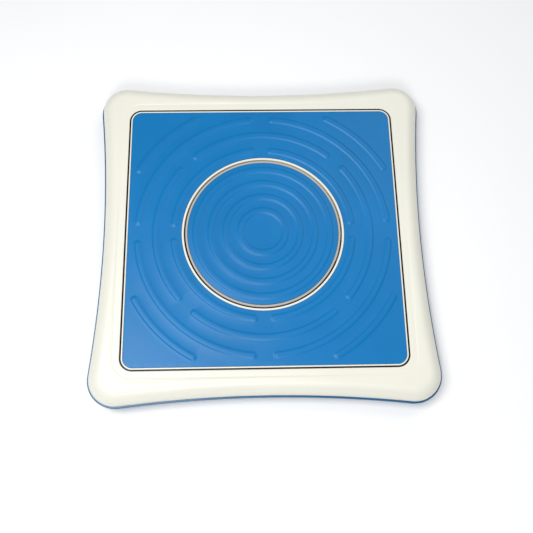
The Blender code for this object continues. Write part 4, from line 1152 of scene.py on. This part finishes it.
class POTTERY_OT_drive(Operator):
    """Drive pulley, belt, motor pulley and motor shaft"""

    bl_idname = "pottery.drive"
    bl_label = "Drive"

    BELT_GAP = 0.05 * MM
    BELT_THICK = 0.9 * MM

    def execute(self, context):
        self.pulley()
        self.belt()
        self.motor_pulley()
        return {"FINISHED"}

    def pulley(self):
        web_top = high("hub_nut").z - 3.2 * MM - GAP - 1.3 * MM
        web_bottom = web_top - 2.5 * MM
        rim_low = low("drive_pulley").z
        radius = self.wheel_radius()
        bore = BORE_RADIUS + RUNNING_GAP
        hub = 10 * MM
        inner, outer = 25.5 * MM, 34.5 * MM
        inside = radius - 3 * MM
        lip = 1.2 * MM
        profile = [
            (bore, web_bottom),
            (inside, web_bottom),
            (inside, rim_low),
            (high("drive_pulley").x, rim_low),
            (radius, rim_low + lip),
            (radius, web_top - lip),
            (high("drive_pulley").x, web_top),
            (outer, web_top),
            (outer, CARRIER_TOP),
            (inner, CARRIER_TOP),
            (inner, web_top),
            (hub, web_top),
            (hub, web_top + 1.3 * MM),
            (bore, web_top + 1.3 * MM),
        ]
        made = spun_piece("belt_pulley", profile, "wheel", "natural_nylon", ["drive_pulley"], ROUND)
        holes = bmesh.new()
        for node in WHEEL_SCREWS:
            add_cylinder(holes, *axis_of(node), SCREW_RADIUS + GAP, web_bottom - MM, CARRIER_TOP + MM)
        joined(made, holes, "DIFFERENCE")

    def wheel_radius(self):
        return high("drive_pulley").x - 1.4 * MM

    def belt(self):
        """Flat belt round both pulleys, with its two straight runs."""
        motor_radius = high("motor_pulley").x - MOTOR_X - 1.2 * MM
        tangent = math.acos((self.wheel_radius() - motor_radius) / MOTOR_X)
        bottom, top = low("drive_belt").z, high("drive_belt").z
        edge = 0.25 * MM
        thick = self.BELT_THICK
        section = [
            (0, bottom + edge), (edge, bottom), (thick - edge, bottom), (thick, bottom + edge),
            (thick, top - edge), (thick - edge, top), (edge, top), (0, top - edge),
        ]
        rings = []
        for out, height in section:
            wheel = self.wheel_radius() + self.BELT_GAP + out
            motor = motor_radius + self.BELT_GAP + out
            points = self.arc_points(0, wheel, tangent, math.tau - tangent, 96)
            points += self.arc_points(MOTOR_X, motor, -tangent, tangent, 24)
            rings.append((points, height))
        bm = bmesh.new()
        add_loft(bm, rings, closed=True)
        piece(bm, "flat_belt", "body", "dark_rubber", "drive_belt")

    def arc_points(self, x, radius, start, end, steps):
        turns = [start + (end - start) * step / steps for step in range(steps + 1)]
        return [(x + radius * math.cos(turn), radius * math.sin(turn)) for turn in turns]

    def motor_pulley(self):
        bottom, top = low("motor_pulley").z, high("motor_pulley").z
        flange = high("motor_pulley").x - MOTOR_X
        bore = SCREW_RADIUS + RUNNING_GAP
        lip = 1 * MM
        profile = [
            (bore, bottom),
            (flange, bottom),
            (flange - 1.2 * MM, bottom + lip),
            (flange - 1.2 * MM, top - lip),
            (flange, top),
            (bore, top),
        ]
        spun_piece(
            "small_pulley", profile, "motor_rotor", "brass", ["motor_pulley"], 48, MOTOR_X, 0, 0.15 * MM
        )
        bottom, top = low("motor_shaft").z, high("motor_shaft").z
        profile = [(0, bottom), (SCREW_RADIUS, bottom), (SCREW_RADIUS, top), (0, top)]
        spun_piece("rotor_shaft", profile, "motor_rotor", "bright_steel", ["motor_shaft"], 32, MOTOR_X, 0)


class POTTERY_OT_spindle(Operator):
    """Spindle, thrust washer, clip and hub nut"""

    bl_idname = "pottery.spindle"
    bl_label = "Spindle"

    def execute(self, context):
        clip_low, clip_high = low("spindle_clip").z, high("spindle_clip").z
        groove = BORE_RADIUS - 0.8 * MM
        foot, top = low("spindle").z, high("spindle").z
        room = 0.1 * MM
        profile = [
            (0, foot),
            (BORE_RADIUS, foot),
            (BORE_RADIUS, clip_low - room),
            (groove, clip_low - room),
            (groove, clip_high + room),
            (BORE_RADIUS, clip_high + room),
            (BORE_RADIUS, top),
            (0, top),
        ]
        spun_piece("steel_spindle", profile, "wheel", "bright_steel", ["spindle"], width=0.1 * MM)
        bore = BORE_RADIUS + RUNNING_GAP
        self.ring("brass_washer", "thrust_washer", bore, BORE_RADIUS + 2.4 * MM, "brass")
        clip = self.ring(
            "ring_clip", "spindle_clip", groove + RUNNING_GAP, BORE_RADIUS + 2.6 * MM, "bright_steel"
        )
        mouth = bmesh.new()
        add_block(mouth, (0, -1.5 * MM, clip_low - MM), (9 * MM, 1.5 * MM, clip_high + MM))
        joined(clip, mouth, "DIFFERENCE")
        self.nut(bore)
        return {"FINISHED"}

    def ring(self, name, node, inner, outer, slot):
        bottom, top = low(node).z, high(node).z
        profile = [(inner, bottom), (outer, bottom), (outer, top), (inner, top)]
        return spun_piece(name, profile, "wheel", slot, [node], width=0.08 * MM)

    def nut(self, bore):
        """Hexagon nut whose corners are turned off at both faces."""
        bottom, top = low("hub_nut").z, high("hub_nut").z
        across = high("hub_nut").y
        nut = bmesh.new()
        add_cylinder(nut, 0, 0, across, bottom, top, 6)
        made = piece(nut, "spindle_nut", "wheel", "bright_steel", "hub_nut")
        cone = bmesh.new()
        flat = across * math.cos(math.pi / 6)
        corner = across - flat
        add_spun(
            cone,
            [
                (0, bottom - MM),
                (flat - MM, bottom - MM),
                (flat - MM / 2, bottom),
                (across + MM / 2, bottom + corner * 0.9),
                (across + MM / 2, top - corner * 0.9),
                (flat - MM / 2, top),
                (flat - MM, top + MM),
                (0, top + MM),
            ],
            SMALL_ROUND,
        )
        joined(made, cone, "INTERSECT")
        thread = bmesh.new()
        add_cylinder(thread, 0, 0, bore, bottom - MM, top + MM, SMALL_ROUND)
        joined(made, thread, "DIFFERENCE")


class POTTERY_OT_bearings(Operator):
    """Both ball bearings: races with their grooves, cages and balls"""

    bl_idname = "pottery.bearings"
    bl_label = "Bearings"

    BALL = 1.8 * MM
    BALLS = 7

    def execute(self, context):
        for level in ("lower", "upper"):
            self.races(level)
            self.cage(level)
        return {"FINISHED"}

    def races(self, level):
        outer_node, inner_node = f"{level}_outer_race", f"{level}_inner_race"
        bottom, top = low(outer_node).z, high(outer_node).z
        middle = (bottom + top) / 2
        pitch = (BEARING_RADIUS + BORE_RADIUS) / 2
        land = self.BALL * 0.83
        groove = self.BALL + 0.25 * MM
        half = self.BALL - 0.2 * MM
        outer = [
            (pitch + land, bottom),
            (BEARING_RADIUS, bottom),
            (BEARING_RADIUS, top),
            (pitch + land, top),
            (pitch + land, middle + half),
            (pitch + groove, middle + half / 3),
            (pitch + groove, middle - half / 3),
            (pitch + land, middle - half),
        ]
        spun_piece(f"{level}_race_outside", outer, "body", "bright_steel", [outer_node], width=0.15 * MM)
        inner = [
            (BORE_RADIUS + RUNNING_GAP, bottom),
            (pitch - land, bottom),
            (pitch - land, middle - half),
            (pitch - groove, middle - half / 3),
            (pitch - groove, middle + half / 3),
            (pitch - land, middle + half),
            (pitch - land, top),
            (BORE_RADIUS + RUNNING_GAP, top),
        ]
        spun_piece(f"{level}_race_inside", inner, "wheel", "bright_steel", [inner_node], width=0.15 * MM)

    def cage(self, level):
        node = f"{level}_ball_cage"
        middle = (low(node).z + high(node).z) / 2
        pitch = (BEARING_RADIUS + BORE_RADIUS) / 2
        half = 0.5 * MM
        tall = 0.9 * MM
        profile = [
            (pitch - half, middle - tall),
            (pitch + half, middle - tall),
            (pitch + half, middle + tall),
            (pitch - half, middle + tall),
        ]
        made = spun_piece(f"{level}_cage", profile, f"{level}_balls", "brass", [node], width=0.1 * MM)
        balls = bmesh.new()
        for ball in range(self.BALLS):
            turn = math.tau * ball / self.BALLS
            place = Matrix.Translation((pitch * math.cos(turn), pitch * math.sin(turn), middle))
            bmesh.ops.create_uvsphere(balls, u_segments=20, v_segments=12, radius=self.BALL, matrix=place)
        joined(made, balls, "UNION")


class POTTERY_OT_housing(Operator):
    """Cast bearing housing with a pocket at each end"""

    bl_idname = "pottery.housing"
    bl_label = "Bearing housing"

    def execute(self, context):
        bottom, top = low("bearing_housing").z, high("bearing_housing").z
        tube = BEARING_RADIUS + 4.3 * MM
        flange = high("bearing_housing").x
        pocket = BEARING_RADIUS + RUNNING_GAP
        waist = BEARING_RADIUS - 2 * MM
        lower_stop = high("lower_outer_race").z + GAP
        upper_stop = low("upper_outer_race").z - GAP
        flange_top = bottom + 3 * MM
        fillet = 1.5 * MM
        profile = [(pocket, bottom), (flange, bottom), (flange, flange_top)]
        profile += [
            (tube + fillet * (1 - across), flange_top + fillet * up) for across, up in quarter_arc(4)
        ]
        profile += [
            (tube, top),
            (pocket, top),
            (pocket, upper_stop),
            (waist, upper_stop),
            (waist, lower_stop),
            (pocket, lower_stop),
        ]
        made = spun_piece("zinc_housing", profile, "body", "cast_zinc", ["bearing_housing"], 96)
        holes = bmesh.new()
        for node in HOUSING_SCREWS:
            add_cylinder(holes, *axis_of(node), SCREW_RADIUS + GAP, bottom - MM, flange_top + MM)
        joined(made, holes, "DIFFERENCE")
        return {"FINISHED"}


class POTTERY_OT_motor(Operator):
    """Flat motor and the bracket over it"""

    bl_idname = "pottery.motor"
    bl_label = "Motor"

    def execute(self, context):
        bottom, top = low("motor_can").z, high("motor_can").z
        radius = high("motor_can").x - MOTOR_X
        bore = SCREW_RADIUS + GAP
        seam = 0.3 * MM
        profile = [
            (0, bottom),
            (radius - MM, bottom),
            (radius, bottom + MM),
            (radius, top - 3 * MM),
            (radius - seam, top - 3 * MM + seam),
            (radius, top - 3 * MM + 2 * seam),
            (radius, top),
            (bore, top),
            (bore, top - 4 * MM),
            (0, top - 4 * MM),
        ]
        spun_piece("steel_can", profile, "body", "bright_steel", ["motor_can"], 96, MOTOR_X, 0, 0.2 * MM)
        bm = bmesh.new()
        start, end = low("motor_bracket"), high("motor_bracket")
        add_block(bm, start, end)
        bevel_edges(bm, upright_edges(bm), 4 * MM, 8)
        round_edges(bm, 0.2 * MM)
        bracket = piece(bm, "steel_bracket", "body", "bright_steel", "motor_bracket")
        holes = bmesh.new()
        add_cylinder(holes, MOTOR_X, 0, 5 * MM, start.z - MM, end.z + MM, SMALL_ROUND)
        for node in BRACKET_SCREWS:
            add_cylinder(holes, *axis_of(node), SCREW_RADIUS + GAP, start.z - MM, end.z + MM)
        joined(bracket, holes, "DIFFERENCE")
        return {"FINISHED"}


# --------------------------------------------------- batteries and controls


class POTTERY_OT_batteries(Operator):
    """Battery box, cells, contact strips and the door under them"""

    bl_idname = "pottery.batteries"
    bl_label = "Battery bay"

    def execute(self, context):
        self.box()
        for node in CELLS:
            self.cell(node)
        self.contacts()
        self.door()
        return {"FINISHED"}

    def box(self):
        start, end = low("battery_box"), high("battery_box")
        door_start, door_end = low("battery_door"), high("battery_door")
        ear = 12 * MM
        wall = 1.8 * MM
        bm = bmesh.new()
        add_block(bm, start, (end.x, end.y, start.z + 6 * MM), 0.8 * MM)
        made = piece(bm, "cell_box", "body", "black_plastic", "battery_box")
        tub = bmesh.new()
        add_block(
            tub,
            (door_start.x - wall, door_start.y + ear - wall, start.z + 0.5 * MM),
            (door_end.x + wall, door_end.y - ear + wall, end.z),
            0.8 * MM,
        )
        joined(made, tub, "UNION")
        hollow = bmesh.new()
        add_block(
            hollow,
            (door_start.x, door_start.y + ear, start.z - MM),
            (door_end.x, door_end.y - ear, end.z - wall),
        )
        for node in DOOR_SCREWS:
            add_cylinder(hollow, *axis_of(node), SCREW_RADIUS + GAP, start.z - MM, start.z + 5 * MM)
        joined(made, hollow, "DIFFERENCE")

    def cell(self, node):
        """One round cell lying along X, its nipple turned the other way on every second cell."""
        start, end = low(node), high(node)
        middle = (start + end) / 2
        half = (end.x - start.x) / 2
        radius = (end.z - start.z) / 2
        nipple = 2.7 * MM
        profile = [
            (0, -half),
            (radius, -half),
            (radius, half - MM),
            (nipple, half - MM),
            (nipple, half),
            (0, half),
        ]
        bm = bmesh.new()
        add_spun(bm, profile, 48)
        bmesh.ops.recalc_face_normals(bm, faces=bm.faces)
        round_edges(bm, 0.3 * MM)
        way = 1 if CELLS.index(node) % 2 == 0 else -1
        bmesh.ops.rotate(bm, verts=bm.verts, matrix=Matrix.Rotation(way * math.pi / 2, 3, "Y"))
        bmesh.ops.translate(bm, verts=bm.verts, vec=middle)
        piece(bm, f"round_{node}", "body", "cell_jacket", node)

    def contacts(self):
        """Sprung strips with a cone pressed against each cell's end."""
        cell_low, cell_high = low(CELLS[0]), high(CELLS[0])
        level = (cell_low.z + cell_high.z) / 2
        for node, side, end_x in (
            ("contact_strip_outer", -1, cell_low.x), ("contact_strip_inner", 1, cell_high.x)
        ):
            start, end = low(node), high(node)
            back = start.x if side < 0 else end.x
            face = back - side * 0.5 * MM
            tip = end_x + side * GAP
            bm = bmesh.new()
            add_block(
                bm, (min(back, face), start.y, start.z), (max(back, face), end.y, end.z), 0.12 * MM
            )
            strip = piece(bm, f"brass_{node}", "body", "brass", node)
            cones = bmesh.new()
            length = abs(face - tip) + 0.2 * MM
            for cell in CELLS:
                y = (low(cell).y + high(cell).y) / 2
                place = Matrix.Translation(((face + tip) / 2 + side * 0.1 * MM, y, level))
                turn = Matrix.Rotation(-side * math.pi / 2, 4, "Y")
                bmesh.ops.create_cone(
                    cones, cap_ends=True, segments=24, radius1=3.2 * MM, radius2=1.2 * MM, depth=length,
                    matrix=place @ turn,
                )
            joined(strip, cones, "UNION")

    def door(self):
        start, end = low("battery_door"), high("battery_door")
        bm = bmesh.new()
        add_block(bm, start, end)
        bevel_edges(bm, upright_edges(bm), MM, 4)
        round_edges(bm, 0.3 * MM)
        door = piece(bm, "cell_door", "body", "blue_plastic", "battery_door")
        cuts = bmesh.new()
        for node in DOOR_SCREWS:
            seat = low(node).z + SCREW_HEAD_HEIGHT + GAP
            add_sunk_hole(cuts, *axis_of(node), seat, FLOOR + MM, SHELL_BOTTOM - MM)
        middle = (start + end) / 2
        for step in range(-3, 4):
            x = middle.x + step * 5 * MM
            add_block(
                cuts,
                (x - MM, middle.y - 9 * MM, start.z - MM),
                (x + MM, middle.y + 9 * MM, start.z + 0.5 * MM),
            )
        joined(door, cuts, "DIFFERENCE")


class POTTERY_OT_controls(Operator):
    """Control board, potentiometer, speed dial and slide switch"""

    bl_idname = "pottery.controls"
    bl_label = "Controls"

    TEETH = 40

    def execute(self, context):
        self.board()
        self.potentiometer()
        self.dial()
        self.switch()
        return {"FINISHED"}

    def board(self):
        start, end = low("control_board"), high("control_board")
        top = start.z + 1.6 * MM
        middle = (start.y + end.y) / 2
        bm = bmesh.new()
        add_block(bm, start, (end.x, end.y, top), 0.15 * MM)
        board = piece(bm, "circuit_board", "body", "board_green", "control_board")
        chips = bmesh.new()
        sunk = top - 0.5 * MM
        add_block(
            chips, (start.x + 12 * MM, middle, sunk), (start.x + 26 * MM, middle + 7 * MM, end.z), 0.3 * MM
        )
        add_block(
            chips,
            (start.x + 34 * MM, middle, sunk),
            (start.x + 40 * MM, middle + 5 * MM, end.z - MM),
            0.2 * MM,
        )
        joined(board, chips, "UNION")
        blacken_chips_and_gap_shade(board, lambda place: place.z > top + 0.02 * MM)

    def potentiometer(self):
        start, end = low("potentiometer"), high("potentiometer")
        bm = bmesh.new()
        add_block(bm, start, end, 0.4 * MM)
        made = piece(bm, "dial_pot", "body", "black_plastic", "potentiometer")
        bore = bmesh.new()
        x, y = axis_of("speed_dial")
        add_cylinder(bore, x, y, 2 * MM + GAP, start.z - MM, high("speed_dial").z + GAP)
        joined(made, bore, "DIFFERENCE")

    def dial(self):
        """Knurled thumbwheel with rounded rims, and the pin that turns in the potentiometer."""
        x, y = axis_of("speed_dial")
        radius = high("speed_dial").x - x
        bottom = low("speed_dial").z
        top = bottom + 4 * MM
        edge = 0.6 * MM
        profile = [(0, bottom)]
        profile += [(radius - edge * (1 - across), bottom + edge * up) for across, up in quarter_arc(4)]
        profile += [(radius - edge * up, top - edge * (1 - across)) for across, up in quarter_arc(4)]
        profile += [(2 * MM, top), (2 * MM, high("speed_dial").z), (0, high("speed_dial").z)]
        bm = bmesh.new()
        add_spun(bm, profile, self.TEETH * 8)
        for vert in bm.verts:
            out = Vector((vert.co.x, vert.co.y))
            share = smooth_step((out.length / radius - 0.93) / 0.05)
            turn = math.atan2(out.y, out.x)
            depth = 0.7 * MM * share * (0.5 + 0.5 * math.cos(self.TEETH / 2 * turn)) ** 2
            out = out.normalized() * (out.length - depth) if out.length > 0 else out
            vert.co = (out.x + x, out.y + y, vert.co.z)
        piece(bm, "thumb_dial", "dial", "dark_rubber", "speed_dial")

    def switch(self):
        start, end = low("switch_housing"), high("switch_housing")
        knob_low, knob_high = low("power_switch"), high("power_switch")
        bm = bmesh.new()
        add_block(bm, start, end, 0.3 * MM)
        made = piece(bm, "switch_body", "body", "black_plastic", "switch_housing")
        track = bmesh.new()
        add_block(
            track,
            (knob_low.x - GAP, start.y - MM, knob_low.z - GAP),
            (knob_high.x + 4 * MM + GAP, knob_high.y + GAP, knob_high.z + GAP),
        )
        joined(made, track, "DIFFERENCE")
        knob = bmesh.new()
        add_block(knob, knob_low, knob_high, 0.4 * MM)
        slider = piece(knob, "switch_slider", "switch_knob", "dark_rubber", "power_switch")
        grips = bmesh.new()
        for step in (-1, 0, 1):
            x = (knob_low.x + knob_high.x) / 2 + step * 1.5 * MM
            add_block(
                grips,
                (x - 0.3 * MM, knob_low.y - MM, knob_low.z - MM),
                (x + 0.3 * MM, knob_low.y + 0.4 * MM, knob_high.z + MM),
            )
        joined(slider, grips, "DIFFERENCE")


class POTTERY_OT_leads(Operator):
    """Battery and motor leads, smoothed along their own routes"""

    bl_idname = "pottery.leads"
    bl_label = "Leads"

    def execute(self, context):
        for node in ("battery_lead", "motor_lead"):
            self.lead(node)
        return {"FINISHED"}

    def lead(self, node):
        """The frame's own lead with a finer, rounder section."""
        bm = bmesh.new()
        bm.from_mesh(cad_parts[node].data)
        bmesh.ops.remove_doubles(bm, verts=bm.verts, dist=2e-6)
        bmesh.ops.subdivide_edges(bm, edges=bm.edges, cuts=2, smooth=1.0, use_grid_fill=True)
        piece(bm, f"cored_{node}", "body", "wire_red", node)


# --------------------------------------------------------- screws and feet


class POTTERY_OT_screws(Operator):
    """Every pan-head screw, with its cross recess"""

    bl_idname = "pottery.screws"
    bl_label = "Screws"

    def execute(self, context):
        for node in CASE_SCREWS + HOUSING_SCREWS + WHEEL_SCREWS + BRACKET_SCREWS + DOOR_SCREWS:
            self.screw(node, node in WHEEL_SCREWS)
        return {"FINISHED"}

    def screw(self, node, on_wheel):
        x, y = axis_of(node)
        bottom, top = low(node).z, high(node).z
        heads_up = node not in CASE_SCREWS + DOOR_SCREWS
        end, tip, away = (top, bottom, 1) if heads_up else (bottom, top, -1)
        seat = end - away * SCREW_HEAD_HEIGHT
        thread = 0.35 * MM
        pitch = 1.0 * MM
        profile = [(0, tip), (SCREW_RADIUS * 0.5, tip), (SCREW_RADIUS, tip + away * pitch)]
        turns = int(abs(seat - tip) / pitch) - 2
        for turn in range(turns):
            base = tip + away * pitch * (turn + 1)
            profile.append((SCREW_RADIUS - thread, base + away * pitch / 2))
            profile.append((SCREW_RADIUS, base + away * pitch))
        profile += [(SCREW_RADIUS, seat), (SCREW_HEAD, seat)]
        dome = SCREW_HEAD_HEIGHT
        profile += [
            (SCREW_HEAD * (1 - 0.35 * up), seat + away * dome * across) for across, up in quarter_arc(5)
        ]
        profile.append((0, end))
        body = "wheel" if on_wheel else "body"
        made = spun_piece(f"steel_{node}", profile, body, "bright_steel", [node], SCREW_ROUND, x, y, 0)
        floor, mouth = sorted((end - away * RECESS_DEPTH, end + away * MM))
        for wide, deep in ((RECESS_REACH, RECESS_HALF), (RECESS_HALF, RECESS_REACH)):
            recess = bmesh.new()
            add_block(recess, (x - wide, y - deep, floor), (x + wide, y + deep, mouth))
            joined(made, recess, "DIFFERENCE")


class POTTERY_OT_feet(Operator):
    """Rubber feet with a rounded pad, a grip groove and a barbed plug"""

    bl_idname = "pottery.feet"
    bl_label = "Feet"

    def execute(self, context):
        for node in FEET:
            x, y = axis_of(node)
            radius = high(node).x - x
            edge = 0.8 * MM
            pad_top = SHELL_BOTTOM - GAP
            profile = [(0, 0.5 * MM), (radius * 0.55, 0.5 * MM), (radius * 0.62, 0)]
            profile += [(radius - edge * (1 - across), edge * up) for across, up in quarter_arc(5)]
            profile += [
                (radius, pad_top),
                (FOOT_PLUG, pad_top),
                (FOOT_PLUG, FLOOR + GAP),
                (FOOT_PLUG + MM, FLOOR + GAP),
                (FOOT_PLUG - MM, FLOOR + 3 * MM),
                (0, FLOOR + 3 * MM),
            ]
            spun_piece(f"rubber_{node}", profile, "body", "dark_rubber", [node], SMALL_ROUND, x, y, 0)
        return {"FINISHED"}


# ----------------------------------------------------------------- the stage


class POTTERY_OT_stage(Operator):
    """Pale table, soft lights, even sky and the camera"""

    bl_idname = "pottery.stage"
    bl_label = "Stage"

    def execute(self, context):
        look = context.scene.wheel_stage
        self.table(context)
        self.sky(context, look.sky)
        self.light(context, "key_light", *KEY_LIGHT, look.key_power)
        self.light(context, "back_light", *BACK_LIGHT, look.back_power)
        self.light(context, "front_light", *FRONT_LIGHT, look.front_power)
        self.camera(context, look)
        context.scene.view_settings.view_transform = "Standard"
        return {"FINISHED"}

    def table(self, context):
        bm = bmesh.new()
        bmesh.ops.create_grid(bm, x_segments=8, y_segments=8, size=TABLE_HALF)
        mesh = bpy.data.meshes.new("table")
        bm.to_mesh(mesh)
        bm.free()
        mesh.materials.append(table_top("table_finish", context.scene.wheel_colours.table))
        table = bpy.data.objects.new("table", mesh)
        context.scene.collection.objects.link(table)

    def sky(self, context, strength):
        world = bpy.data.worlds.new("even_sky")
        world.use_nodes = True
        background = world.node_tree.nodes["Background"]
        background.inputs["Color"].default_value = (1, 1, 1, 1)
        background.inputs["Strength"].default_value = strength
        context.scene.world = world

    def light(self, context, name, place, size, power):
        """A square light that faces the middle of the wheel."""
        data = bpy.data.lights.new(name, "AREA")
        data.shape = "SQUARE"
        data.size = size
        data.energy = power
        light = bpy.data.objects.new(name, data)
        light.location = place
        light.rotation_euler = Vector(place).to_track_quat("Z", "Y").to_euler()
        context.scene.collection.objects.link(light)

    def camera(self, context, look):
        target = Vector((*CAMERA_AIM, mat_top()))
        level = math.cos(look.elevation)
        back = Vector(
            (math.sin(look.azimuth) * level, -math.cos(look.azimuth) * level, math.sin(look.elevation))
        )
        right = (-back).cross(Vector(UP)).normalized()
        up = right.cross(-back)
        across = right * math.cos(look.roll) + up * math.sin(look.roll)
        upward = up * math.cos(look.roll) - right * math.sin(look.roll)
        data = bpy.data.cameras.new("camera")
        data.lens = look.lens
        data.sensor_width = 36
        data.clip_start = 0.01
        camera = bpy.data.objects.new("camera", data)
        turned = Matrix((across, upward, back)).transposed().to_4x4()
        camera.matrix_world = Matrix.Translation(target + back * look.distance) @ turned
        context.scene.collection.objects.link(camera)
        context.scene.camera = camera


# ----------------------------------------------------------------- the panel


OPERATORS = (
    POTTERY_OT_stage,
    POTTERY_OT_shell,
    POTTERY_OT_surround,
    POTTERY_OT_deck_tray,
    POTTERY_OT_deck_mat,
    POTTERY_OT_wheel_head,
    POTTERY_OT_wheel_mat,
    POTTERY_OT_drive,
    POTTERY_OT_spindle,
    POTTERY_OT_bearings,
    POTTERY_OT_housing,
    POTTERY_OT_motor,
    POTTERY_OT_batteries,
    POTTERY_OT_controls,
    POTTERY_OT_leads,
    POTTERY_OT_screws,
    POTTERY_OT_feet,
)
SETTINGS = (
    ("wheel_body", BodySizes),
    ("wheel_mats", MatSizes),
    ("wheel_colours", PieceColours),
    ("wheel_stage", StageLook),
)


class POTTERY_PT_sidebar(Panel):
    """Lists the settings and every operator"""

    bl_idname = "POTTERY_PT_sidebar"
    bl_label = "Pottery Wheel"
    bl_space_type = "VIEW_3D"
    bl_region_type = "UI"
    bl_category = "Pottery Wheel"

    def draw(self, context):
        for name, group in SETTINGS:
            box = self.layout.box()
            box.label(text=group.__doc__)
            for prop in group.__annotations__:
                box.prop(getattr(context.scene, name), prop)
        for operator in OPERATORS:
            self.layout.operator(operator.bl_idname)


def register():
    for name, group in SETTINGS:
        bpy.utils.register_class(group)
        setattr(bpy.types.Scene, name, PointerProperty(type=group))
    for operator in OPERATORS:
        bpy.utils.register_class(operator)
    bpy.utils.register_class(POTTERY_PT_sidebar)


def unregister():
    bpy.utils.unregister_class(POTTERY_PT_sidebar)
    for operator in reversed(OPERATORS):
        bpy.utils.unregister_class(operator)
    for name, group in reversed(SETTINGS):
        delattr(bpy.types.Scene, name)
        bpy.utils.unregister_class(group)


def main():
    register()
    for operator in OPERATORS:
        family, name = operator.bl_idname.split(".")
        getattr(getattr(bpy.ops, family), name)()


if __name__ == "__main__":
    main()
